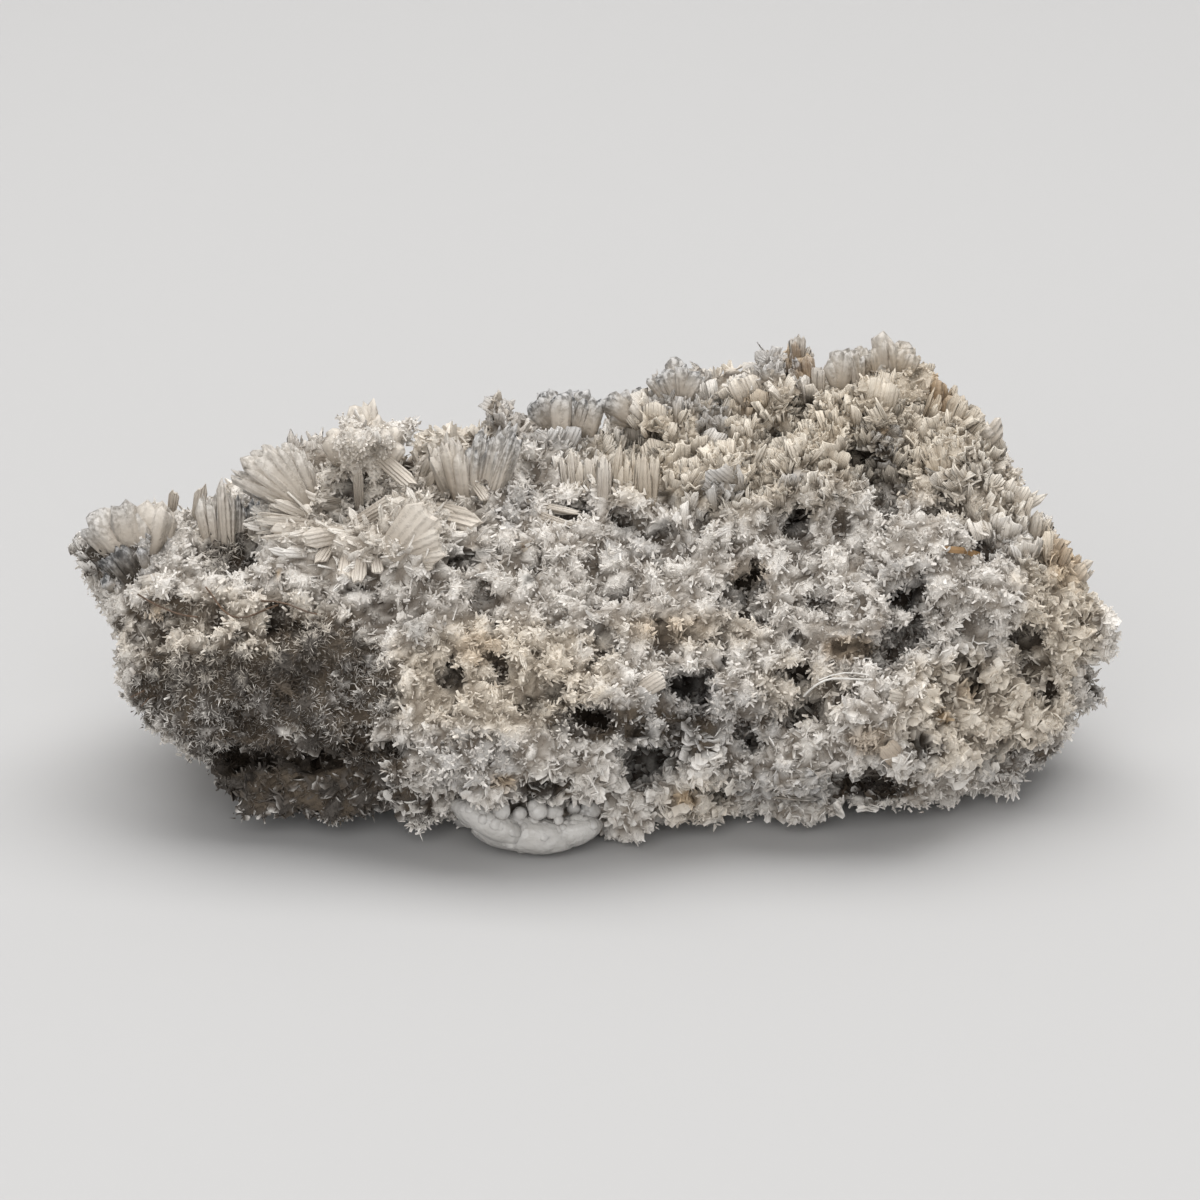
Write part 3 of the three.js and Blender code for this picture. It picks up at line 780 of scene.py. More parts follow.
# %% Sockets as expressions
class Socket:
    """An output of a node tree that can be added, multiplied and mixed in Python."""

    def __init__(self, tree, output=None):
        self.tree = tree
        self.output = output

    def node(self, kind, settings=None, values=None, output=0):
        """Adds a node of any kind: its settings first, then the values or links of its sockets."""
        made = self.tree.nodes.new(kind)
        for name, setting in (settings or {}).items():
            setattr(made, name, setting)
        feed(made, values or {})
        return Socket(self.tree, made.outputs[output])

    def place(self):
        """The place on the object, wherever the object is."""
        return self.node("ShaderNodeTexCoord", None, None, "Object")

    def attribute(self, name):
        """A number that the mesh keeps for each of its points."""
        return self.node("ShaderNodeAttribute", {"attribute_name": name}, None, "Fac")

    def grain(self, place, scale, detail, **others):
        """Noise from 0 to 1: scale is its cells per metre."""
        values = {"Vector": place, "Scale": scale, "Detail": detail, **others}
        return self.node("ShaderNodeTexNoise", None, values)

    def bump(self, height, strength, distance):
        """Normals that follow a height."""
        values = {"Strength": strength, "Distance": distance, "Height": height}
        return self.node("ShaderNodeBump", None, values)

    def math(self, operation, first, second):
        return self.node("ShaderNodeMath", {"operation": operation}, {0: first, 1: second})

    def __add__(self, other):
        return self.math("ADD", self, other)

    def __sub__(self, other):
        return self.math("SUBTRACT", self, other)

    def __rsub__(self, other):
        return self.math("SUBTRACT", other, self)

    def __mul__(self, other):
        return self.math("MULTIPLY", self, other)

    __radd__ = __add__
    __rmul__ = __mul__

    def mix(self, factor, first, second):
        """A colour between two others."""
        values = {0: factor, 6: first, 7: second}
        return self.node("ShaderNodeMix", {"data_type": "RGBA"}, values, output=2)

    def clamp(self):
        return self.node("ShaderNodeClamp", None, {0: self})


def feed(node, values):
    """Sets the sockets of a node, each to a constant or to a link from another socket."""
    for key, value in values.items():
        if isinstance(value, Socket):
            value.tree.links.new(value.output, node.inputs[key])
        else:
            node.inputs[key].default_value = value


# %% Colours of the mineral
WHITE_DULL = (0.66, 0.61, 0.55, 1)
WHITE_BRIGHT = (0.87, 0.835, 0.785, 1)
CREAM_DULL = (0.5, 0.415, 0.31, 1)
CREAM_BRIGHT = (0.83, 0.745, 0.62, 1)
GREY_DARK = (0.12, 0.115, 0.11, 1)
GREY_BRIGHT = (0.6, 0.58, 0.56, 1)
GRIME_AND_SHADE_DARK = (0.011, 0.01, 0.009, 1)
GRIME_AND_SHADE_BRIGHT = (0.17, 0.15, 0.132, 1)
OCHRE_DARK = (0.22, 0.12, 0.045, 1)
OCHRE_BRIGHT = (0.72, 0.54, 0.33, 1)
# Painted shade and dust: the near black inside the holes.
HOLE_DIRT_AND_SHADE = (0.018, 0.013, 0.009, 1)
# Painted shade and dust: the browns of creases and hollows.
CREASE_DIRT_AND_SHADE = (0.19, 0.15, 0.11, 1)
HOLLOW_DIRT_AND_SHADE = (0.04, 0.028, 0.02, 1)
CRUST_DARK = (0.1, 0.1, 0.1, 1)
CRUST_BRIGHT = (0.55, 0.54, 0.53, 1)
COLOUR_AND_SHADE_MASKS = ("cream", "grey", "grime_and_shade", "ochre", "crust", "dirt_and_shade", "crease", "hollow", "chance", "darkening")
GRAIN_SCALE = 1400.0
BLOTCH_SCALE = 260.0
SPECK_SCALE = 2600.0
RELIEF_SCALE = 2800.0
RELIEF_DEPTH = 0.19 * MM
RIDGE_SHARE = 0.22
ALBITE_IOR = 1.53


def albite_colour(start, place, tip, top):
    """The colour recipe: tip runs from 0 at the foot of a crystal to 1 at its end and paints the end lighter
    as painted light, top is where grey sits.
    """
    grain = start.grain(place, GRAIN_SCALE, 3.0)
    blotch = start.grain(place, BLOTCH_SCALE, 2.0)
    speck = start.grain(place, SPECK_SCALE, 2.0)
    masks = {name: start.attribute(name) for name in COLOUR_AND_SHADE_MASKS}
    chance = masks["chance"]
    # Painted light: a crystal's end is painted lighter than its foot, and chance and grain are the stone's
    # own tone. Darkening is painted shade on the crest front and a darker tone on the fans.
    light = (0.5 * tip + 0.4 * chance + 0.7 * grain - 0.08 - 0.4 * masks["darkening"]).clamp()
    colour = start.mix(light, WHITE_DULL, WHITE_BRIGHT)
    colour = start.mix(masks["cream"], colour, start.mix(light, CREAM_DULL, CREAM_BRIGHT))
    greyed = masks["grey"] * 2.4 - 1.3 * chance + 0.6 * (blotch - 0.5)
    greyed = greyed.clamp() * (masks["grey"] * 4.0).clamp()
    colour = start.mix(greyed * (0.25 + 0.6 * top), colour, start.mix(light, GREY_DARK, GREY_BRIGHT))
    colour = start.mix(masks["ochre"], colour, start.mix(light, OCHRE_DARK, OCHRE_BRIGHT))
    crusted = (masks["crust"] * (2.6 * top + 1.2 * blotch - 1.7)).clamp()
    salt = ((speck - 0.42) * 6.0).clamp()
    colour = start.mix(crusted, colour, start.mix(salt, CRUST_DARK, CRUST_BRIGHT))
    # Dust and painted shade, nearly black, on the lower left and in the recesses.
    dusted_and_shaded = masks["grime_and_shade"] * 2.6 - 1.2 * chance - 1.3 * tip + 1.3 * grain - 0.55
    dusted_and_shaded = dusted_and_shaded.clamp() * (masks["grime_and_shade"] * 4.0).clamp()
    colour = start.mix(dusted_and_shaded, colour, start.mix(light, GRIME_AND_SHADE_DARK, GRIME_AND_SHADE_BRIGHT))
    # Painted shade and dust in creases and tuft gaps, least at crystal ends.
    colour = start.mix((masks["crease"] * (0.85 - 1.0 * tip)).clamp(), colour, CREASE_DIRT_AND_SHADE)
    # Painted shade and dust in broad hollows, less at crystal ends.
    colour = start.mix((masks["hollow"] * (0.75 - 0.6 * tip)).clamp(), colour, HOLLOW_DIRT_AND_SHADE)
    # Painted shade and dust inside the holes, a little lighter at crystal ends.
    return start.mix((masks["dirt_and_shade"] * (0.95 - 0.3 * tip)).clamp(), colour, HOLE_DIRT_AND_SHADE)


def albite_material(name, roughness, gloss, top_share):
    """A finish of albite: top_share is how much of the grey crust sits at the ends of the crystals."""
    material, shader = new_material(name)
    start = Socket(material.node_tree)
    place = start.place()
    tip = start.attribute("tip")
    colour = albite_colour(start, place, tip, tip * top_share + 0.6 * (1 - top_share))
    relief = start.grain(place, RELIEF_SCALE, 5.0, Roughness=0.65)
    wavy = (start.attribute("ridge") + 0.5 * relief) * TURN
    height = relief + RIDGE_SHARE * start.node("ShaderNodeMath", {"operation": "SINE"}, {0: wavy})
    bump = start.bump(height, 0.9, RELIEF_DEPTH * (2 - top_share))
    feed(shader, {"Base Color": colour, "Normal": bump, "Roughness": roughness})
    feed(shader, {"Specular IOR Level": gloss, "IOR": ALBITE_IOR})
    return material


body_finish = albite_material("albite body", roughness=0.8, gloss=0.08, top_share=0.0)
crystal_finish = albite_material("albite crystals", roughness=0.45, gloss=0.35, top_share=1.0)
dusty_finish = albite_material("dusty albite", roughness=0.8, gloss=0.08, top_share=1.0)
body.data.materials.append(body_finish)
print("materials:", [m.name for m in bpy.data.materials])

# %% [markdown]
# ## The sugary coat
# Close up, every clump is a burr of tiny blades that grew outwards from one seed. Thousands of burrs could
# be placed by a particle system, but those are lost on export. Geometry Nodes scatter them instead: points
# on the body, one of a few ready-made burrs on each, turned at random, then made real mesh.

# %% Make the little crystals
def wedge(root, along, across, length, width, thickness):
    """A blade with a chisel end: a foot of four corners and a ridge of two."""
    flat = np.cross(along, across)
    foot = [(-1, -1), (1, -1), (1, 1), (-1, 1)]
    corners = [root + 0.5 * (u * width * across + v * thickness * flat) for u, v in foot]
    ridge = [root + length * along + 0.36 * u * width * across for u in (-1, 1)]
    faces = [(3, 2, 1, 0), (0, 1, 5, 4), (2, 3, 4, 5), (1, 2, 5), (3, 0, 4)]
    return corners + ridge, faces, [0, 0, 0, 0, 1, 1]


def needle(root, along, across, length, width, thickness):
    """A thin spike with a foot of three corners."""
    flat = np.cross(along, across)
    foot = [(-1, -1), (1, -1), (0, 1)]
    corners = [root + 0.5 * (u * width * across + v * thickness * flat) for u, v in foot]
    return corners + [root + length * along], [(2, 1, 0), (0, 1, 3), (1, 2, 3), (2, 0, 3)], [0, 0, 0, 1]


def outward_directions(random, count, lean):
    """Directions spread over a dome, leaning by at most lean from straight up, and a side for each."""
    turns = (np.arange(count) + random.random()) * math.pi * (3 - math.sqrt(5))
    tilts = lean * np.sqrt((np.arange(count) + 0.5) / count) * random.uniform(0.75, 1.15, count)
    along = np.column_stack([np.sin(tilts) * np.cos(turns), np.sin(tilts) * np.sin(turns), np.cos(tilts)])
    side = np.cross(along, random.normal(size=(count, 3)))
    return along, side / np.linalg.norm(side, axis=1)[:, None]


def burrs(name, crystals, kinds, lean, size, seed, spread=0.3):
    """A collection of burrs, each a few crystals from one seed: size is length, width and thickness in mm."""
    random = np.random.default_rng(seed)
    collection = bpy.data.collections.new(name)
    length, width, thickness = (side * MM for side in size)
    for kind in range(kinds):
        vertices, faces, tips = [], [], []
        along, side = outward_directions(random, len(crystals), lean)
        for i, crystal in enumerate(crystals):
            root = np.array([*random.normal(0, spread, 2), -0.1]) * length
            sizes = random.uniform(0.7, 1.1) * length, random.uniform(0.7, 1.2) * width, thickness
            corners, crystal_faces, ends = crystal(root, along[i], side[i], *sizes)
            faces += [tuple(corner + len(vertices) for corner in face) for face in crystal_faces]
            vertices += corners
            tips += [end * random.uniform(0.45, 1.0) for end in ends]
        burr = loose_object(f"{name} {kind}", vertices, faces)
        store(burr, "tip", np.array(tips, float))
        collection.objects.link(burr)
    return collection


# %% [markdown]
# Two trees are needed: one scatters shapes over a surface, the other, further down, sets them on chosen
# points. What they share comes first: a new tree with its inputs, the turn that stands a shape along a
# direction, and the end, where each point gets one shape of a collection that is then made real mesh. In the
# scattering tree Poisson spacing keeps two burrs from sharing a place, and the zone is a mesh attribute that
# thins them out to nothing where another coat takes over.

# %% Build the scattering tree
DENSEST = 1e8


def new_tree(name, inputs):
    """A Geometry Nodes tree with named inputs and one mesh as its output, and its inputs by name."""
    tree = bpy.data.node_groups.new(name, "GeometryNodeTree")
    for label, kind in inputs.items():
        tree.interface.new_socket(label, in_out="INPUT", socket_type=f"NodeSocket{kind}")
    tree.interface.new_socket("Crystals", in_out="OUTPUT", socket_type="NodeSocketGeometry")
    outputs = tree.nodes.new("NodeGroupInput").outputs
    return tree, {socket.name: Socket(tree, socket) for socket in outputs if socket.name}


def named(start, name, kind="FLOAT_VECTOR"):
    """An attribute of the mesh by its name."""
    return start.node("GeometryNodeInputNamedAttribute", {"data_type": kind}, {"Name": name})


def stood_along(start, along, across):
    """The turn that stands a shape along one named direction, its width across to another."""
    axes = {"Primary Axis": named(start, along), "Secondary Axis": named(start, across)}
    return start.node("FunctionNodeAxesToRotation", {"primary_axis": "Z", "secondary_axis": "X"}, axes)


def chance_between(start, smallest, largest, seed):
    """A number for each point, between two limits."""
    limits = {2: smallest, 3: largest, "Seed": seed}
    return start.node("FunctionNodeRandomValue", {"data_type": "FLOAT"}, limits, output=1)


def set_on(tree, points, given, rotation, scale):
    """Sets one of the given shapes on each point, makes them real mesh and gives them their finish."""
    start = Socket(tree)
    apart = {"Collection": given["Shapes"], "Separate Children": True, "Reset Children": True}
    kinds = start.node("GeometryNodeCollectionInfo", None, apart)
    choice = {"Points": points, "Instance": kinds, "Pick Instance": True}
    turned_and_sized = {"Rotation": rotation, "Scale": scale}
    placed = start.node("GeometryNodeInstanceOnPoints", None, {**choice, **turned_and_sized})
    real = start.node("GeometryNodeRealizeInstances", None, {"Geometry": placed})
    done = start.node("GeometryNodeSetMaterial", None, {"Geometry": real, "Material": given["Finish"]})
    tree.links.new(done.output, tree.nodes.new("NodeGroupOutput").inputs["Crystals"])


def scatter_tree():
    """Geometry Nodes that set shapes on the faces of a mesh."""
    names = dict.fromkeys(("Zone", "Along", "Across"), "String")
    numbers = dict.fromkeys(("Spacing", "Smallest", "Largest", "Lean", "Spin"), "Float")
    meshes = {"Surface": "Geometry", "Shapes": "Collection"}
    inputs = {**meshes, **names, **numbers, "Seed": "Int", "Finish": "Material"}
    tree, given = new_tree("set burrs on a surface", inputs)
    start = Socket(tree)
    scattered = {
        "Mesh": given["Surface"],
        "Distance Min": given["Spacing"],
        "Density Max": DENSEST,
        "Density Factor": named(start, given["Zone"], "FLOAT"),
        "Seed": given["Seed"],
    }
    seeds = start.node("GeometryNodeDistributePointsOnFaces", {"distribute_method": "POISSON"}, scattered)
    marked = start.node(
        "GeometryNodeStoreNamedAttribute",
        {"data_type": "FLOAT", "domain": "POINT"},
        {"Geometry": seeds, "Name": "chance", "Value": chance_between(start, 0.0, 1.0, given["Seed"])},
    )
    limits = []
    for sign in (-1.0, 1.0):
        lean, spin = given["Lean"] * sign, given["Spin"] * sign
        limits.append(start.node("ShaderNodeCombineXYZ", None, {0: lean, 1: lean, 2: spin}))
    turned = start.node(
        "FunctionNodeRandomValue",
        {"data_type": "FLOAT_VECTOR"},
        {"Min": limits[0], "Max": limits[1], "Seed": given["Seed"] + 1.0},
    )
    stood = stood_along(start, given["Along"], given["Across"])
    turns = {"Rotation": stood, "Rotate By": turned}
    rotation = start.node("FunctionNodeRotateRotation", {"rotation_space": "LOCAL"}, turns)
    scale = chance_between(start, given["Smallest"], given["Largest"], given["Seed"] + 2.0)
    set_on(tree, marked, given, rotation, scale)
    return tree


burr_tree = scatter_tree()


def grow(name, tree, surface, **given):
    """Runs a tree on a copy of the surface and keeps the result as a plain mesh of its own."""
    piece = bpy.data.objects.new(name, surface.data)
    bpy.context.scene.collection.objects.link(piece)
    modifier = piece.modifiers.new("grow", "NODES")
    modifier.node_group = tree
    sockets = {s.name: s.identifier for s in tree.interface.items_tree if s.in_out == "INPUT"}
    for label, value in given.items():
        modifier[sockets[label]] = value
    graph = bpy.context.evaluated_depsgraph_get()
    piece.data = bpy.data.meshes.new_from_object(piece.evaluated_get(graph))
    piece.modifiers.clear()
    print(f"{name}: {len(piece.data.polygons)} faces")
    return piece


# %% [markdown]
# ## One coat for each kind of ground
# Fine white sugar lies on the middle, matted needles on the dusty left, and a plainer coat over the back.
# Each zone is a weight from 0 to 1. The crest is the outer part of every sheaf, and carries larger shells.
# The shares in the weights say how far one kind of ground gives way to another where they meet.

# %% Weigh the zones
STAR_ZONE = dict(at=(372, 526), half=(140, 66))
FOOT_ZONE = dict(at=(528, 836), half=(94, 38))
NEEDLES_END = -9 * MM
ZONE_REACH = 8 * MM
FRONT_END = 5 * MM
FRONT_BLEND = 7 * MM
FLOOR_CLEARANCE = 0.8 * MM
NEEDLES_BLEND = 3 * MM
LEFT_END = -12 * MM
RIGHT_START = 11 * MM
CREST_SHADE = 0.7
CREST_FRONT_SHADE = 0.25


def store_vectors(piece, name, vectors):
    """Keeps one direction per point of the mesh under a name."""
    attribute = piece.data.attributes.new(name, "FLOAT_VECTOR", "POINT")
    attribute.data.foreach_set("vector", np.array(vectors, np.float32).ravel())


def unit(vectors):
    """The vectors at length 1."""
    return vectors / np.maximum(np.linalg.norm(vectors, axis=-1, keepdims=True), 1e-9)


def near_zone(points, centre, zone):
    """1 well inside a zone, 0 outside it."""
    return soft_step(EDGE_STEEPNESS * closeness(points, centre, zone["half"], ZONE_REACH))


points = points_of(body)
normals = normals_of(body)
front = 1 - soft_step((points[:, 1] - FRONT_END) / FRONT_BLEND)
off_floor = soft_step((points[:, 2] - low[2]) / FLOOR_CLEARANCE)
foot_centre = seen_at(body_tree, FOOT_ZONE["at"])[0]
off_foot = 1 - near_zone(points, foot_centre, FOOT_ZONE)
open_ground = off_floor * off_foot * (1 - 0.85 * body_dirt_and_shade) * (0.4 + 0.6 * tufts)
matted = soft_step(2.2 * body_tints["grime_and_shade"] - 0.4 + 0.5 * noise_at(points, 1.2 * MM, 6.6))
matted *= soft_step((NEEDLES_END - points[:, 0]) / NEEDLES_BLEND)
matted *= 1 - 0.85 * patch_cover(points, {"dark underside": ROCKY["dark underside"]})
on_crest = crest_at(points)
star_centre = seen_at(body_tree, STAR_ZONE["at"])[0]
by_the_star = near_zone(points, star_centre, STAR_ZONE)
rocky = patch_cover(points, ROCKY) * soft_step(0.85 + 1.5 * noise_at(points, 4 * MM, 3.3)) * (1 - matted)
sugary = front * (1 - matted) * (1 - 0.65 * on_crest) * open_ground * (1 - 0.9 * rocky)
sugary *= (1 - 0.9 * frost) * (1 - 0.5 * by_the_star)
left = points[:, 0] < LEFT_END
right = points[:, 0] > RIGHT_START
zones = {
    "sugar zone": sugary,
    "left sugar zone": sugary * left,
    "middle sugar zone": sugary * ~(left | right),
    "right sugar zone": sugary * right,
    "matted zone": front * matted * off_floor * (0.75 + 0.25 * tufts),
    "frost zone": frost * front * off_floor * (1 - matted),
    "rocky zone": rocky * front * off_floor * off_foot * (1 - 0.9 * body_dirt_and_shade),
    "back zone": (1 - front) * (1 - 0.6 * on_crest) * off_floor * (0.2 + 0.8 * tufts),
    "crest zone": on_crest * (1 - 0.95 * body_dirt_and_shade) * (1 - 0.8 * matted) * (1 - by_the_star),
    "star zone": by_the_star * (1 - 0.7 * body_dirt_and_shade) * (1 - matted) * (1 - 0.8 * on_crest),
}
for name, weight in zones.items():
    store(body, name, weight)
# Painted shade: the crest's front slopes are darkened, and the feet of its shells are shaded brown.
store(body, "darkening", CREST_FRONT_SHADE * on_crest * front)
store(body, "crease", np.maximum(creases, CREST_SHADE * on_crest))

# %% [markdown]
# A crystal also needs a direction. In the sugar it leans away from the middle of its tuft, on the crest it
# leans upwards and drifts slowly from place to place, and around the star it points away from the star's hub.

# %% Give every point its directions
OUTWARD = 0.6
UPWARD = 0.9
DRIFT = 3.2 * MM
DRIFT_SHARE = 0.5
TWIST = 0.8
STAR_DRIFT = 0.7
ROSETTE = 0.95
drift = np.array([noise.noise_vector(Vector(p) / DRIFT) for p in points])
from_middle -= (from_middle * normals).sum(axis=1)[:, None] * normals
rosette = unit(normals + ROSETTE * from_middle / (0.5 * TUFT_CELL))
crest_along = unit(OUTWARD * normals + np.array([0, -0.05, UPWARD]) + DRIFT_SHARE * drift)
crest_across = unit(np.cross(crest_along, normals + TWIST * np.roll(drift, 1, axis=1)))
star_along = unit(unit(points - np.array(SHEAVES["white star"]["hub"]) * MM) + STAR_DRIFT * drift)
for name, vectors in {
    "outward": rosette,
    "sideways": unit(np.cross(rosette, [0.3, 0.5, 0.8])),
    "crest along": crest_along,
    "crest across": crest_across,
    "star along": star_along,
}.items():
    store_vectors(body, name, vectors)

# %% Grow the coats
sugar_burrs = burrs("sugar burr", (wedge, wedge, needle), 8, 0.95, (0.43, 0.2, 0.12), seed=11, spread=0.35)
frost_burrs = burrs("frost burr", (wedge,) * 3, 6, 1.1, (0.24, 0.2, 0.12), seed=14, spread=0.5)
needle_burrs = burrs("needle burr", (needle,) * 7, 5, 1.3, (0.56, 0.12, 0.09), seed=12, spread=0.45)
back_burrs = burrs("back burr", (wedge,) * 4, 6, 0.9, (0.9, 0.44, 0.24), seed=13)


def coat(name, shapes, zone, seed, spacing, sizes, finish=crystal_finish,
         along="outward", across="sideways", lean=0.8, spin=math.pi):
    """Scatters shapes over a zone of the body: spacing is in mm, sizes are the least and greatest scale."""
    smallest, largest = sizes
    return grow(name, burr_tree, body, Shapes=shapes, Zone=zone, Along=along, Across=across, Seed=seed,
                Spacing=spacing * MM, Smallest=smallest, Largest=largest, Lean=lean, Spin=spin, Finish=finish)


coats = [
    coat("matted_needles", needle_burrs, "matted zone", 4, 0.34, (0.5, 1.3), dusty_finish),
    coat("back_sugar", back_burrs, "back zone", 5, 0.85, (0.7, 1.3)),
    coat("left_sugar", sugar_burrs, "left sugar zone", 6, 0.33, (0.55, 1.35)),
    coat("middle_sugar", sugar_burrs, "middle sugar zone", 7, 0.33, (0.55, 1.35)),
    coat("right_sugar", sugar_burrs, "right sugar zone", 8, 0.33, (0.55, 1.35)),
    coat("frost", frost_burrs, "frost zone", 13, 0.32, (0.6, 1.2)),
]

# %% [markdown]
# ## Shells on the crest
# The crest is a mass of small shell-like blades: narrow at the foot, ragged and ridged at the end, fused
# side by side so that mostly their ends show. The same scattering tree sets them, but along directions that
# lean upwards and drift slowly from place to place, so that neighbours overlap like shingles.

# %% Make the folded plate
def folded_plate(random, foot_width, columns, rows, ragged, fold, bend=0.0):
    """A unit plate across x and up z: a narrower foot, folds along its length and a ragged end."""
    slope = random.uniform(-1, 1) * np.linspace(-1, 1, columns)
    ends = 1 - ragged * (random.random(columns) + 0.5 * (1 + slope))
    folds = fold * np.sin(random.uniform(0, TURN) + np.arange(columns) * random.uniform(1.3, 2.4))
    vertices = []
    for side in (-1, 1):
        for row in range(rows):
            height = row / (rows - 1)
            width = foot_width + (1 - foot_width) * math.sqrt(height)
            for column in range(columns):
                across = column / (columns - 1) - 0.5
                thick = 0.5 * (1 - 0.6 * (2 * across) ** 2) * (0.5 if row == rows - 1 else 1.0)
                out = side * thick + folds[column] * (0.3 + 0.7 * height) + bend * height**2
                up = height * ends[column] * (1 - 0.2 * height * (2 * across) ** 6)
                vertices.append((across * width, out, up))
    return vertices, plate_faces(columns, rows)


def plate_faces(columns, rows):
    """The faces of two layers of corners, closed along their four sides."""
    layer = columns * rows
    faces = []
    for row in range(rows - 1):
        for column in range(columns - 1):
            a = row * columns + column
            faces.append((a, a + 1, a + 1 + columns, a + columns))
            faces.append((layer + a + 1, layer + a, layer + a + columns, layer + a + 1 + columns))
        a = row * columns
        faces.append((a, a + columns, a + columns + layer, a + layer))
        a += columns - 1
        faces.append((a + columns, a, a + layer, a + columns + layer))
    for column in range(columns - 1):
        faces.append((column + 1, column, column + layer, column + 1 + layer))
        a = (rows - 1) * columns + column
        faces.append((a, a + 1, a + 1 + layer, a + layer))
    return faces


def shape_collection(name, kinds, seed, make, ridges=0, smooth=False):
    """A collection of shapes that are alike but not the same, each with a number of fine ridges across."""
    random = np.random.default_rng(seed)
    collection = bpy.data.collections.new(name)
    for kind in range(kinds):
        vertices, faces = make(random)
        shape = loose_object(f"{name} {kind}", vertices, faces)
        if smooth:
            shape.data.shade_smooth()
        sides, _, tops = np.array(vertices).T
        store(shape, "tip", (tops - tops.min()) / (tops.max() - tops.min()))
        store(shape, "ridge", ridges * sides / (sides.max() - sides.min()))
        collection.objects.link(shape)
    return collection


def sized_plate(random, plate, width, thickness, length, sunk):
    """A plate of real size, each size drawn between two limits in mm, with its foot below the surface."""
    vertices, faces = plate
    across, thick, up, below = (random.uniform(*limits) * MM for limits in (width, thickness, length, sunk))
    return [(x * across, y * thick, z * up - below) for x, y, z in vertices], faces


def shell_shape(random):
    """A deeply folded shell of the crest."""
    plate = folded_plate(random, 0.7, 8, 3, random.uniform(0.15, 0.35), 0.9, random.uniform(-1.2, 1.2))
    return sized_plate(random, plate, (1.2, 3.0), (0.26, 0.44), (1.9, 3.2), (0.9, 1.2))


def shard_shape(random):
    """A narrow, nearly flat blade."""
    plate = folded_plate(random, 0.85, 3, 2, 0.35, 0.1)
    return sized_plate(random, plate, (0.4, 1.1), (0.22, 0.4), (1.6, 3.4), (0.6, 0.8))


def chip_shape(random):
    """A short, ragged chip of the rocky places."""
    plate = folded_plate(random, 0.9, 4, 2, random.uniform(0.2, 0.5), 0.5, random.uniform(-0.6, 0.6))
    return sized_plate(random, plate, (0.6, 1.5), (0.16, 0.3), (0.7, 1.3), (0.25, 0.4))


shells = shape_collection("shell", 16, 21, shell_shape, ridges=9, smooth=True)
chips = shape_collection("chip", 12, 24, chip_shape, ridges=2)
shards = shape_collection("shard", 9, 23, shard_shape, ridges=3)
upwards = dict(along="crest along", across="crest across")
coats += [
    coat("crest_shells", shells, "crest zone", 9, 0.8, (0.4, 1.0), lean=0.5, spin=1.1, **upwards),
    coat("crest_shards", shards, "crest zone", 12, 0.7, (0.35, 0.8), lean=0.7, **upwards),
    coat("rocky_chips", chips, "rocky zone", 14, 0.55, (0.5, 1.15), dusty_finish, lean=1.1),
    coat("star_shards", shards, "star zone", 10, 1.0, (0.5, 1.1), along="star along", lean=0.4),
    coat("loose_shards", shards, "sugar zone", 11, 1.5, (0.3, 0.7), lean=0.6),
]

# %% [markdown]
# ## Fans and single crystals
# The largest blades form fans and a white star left of the middle. They are points with two axes and three
# sizes, worked out below, and one small tree puts a ridged blade on each.

# %% Build the tree that sets shapes by their axes
def axes_tree():
    """Geometry Nodes that put a unit shape on each point, turned and sized by the point's attributes."""
    inputs = {"Points": "Geometry", "Shapes": "Collection", "Finish": "Material"}
    tree, given = new_tree("set shapes by their axes", inputs)
    start = Socket(tree)
    cloud = start.node("GeometryNodeMeshToPoints", None, {"Mesh": given["Points"]})
    set_on(tree, cloud, given, stood_along(start, "along", "across"), named(start, "size"))
    return tree


shape_tree = axes_tree()


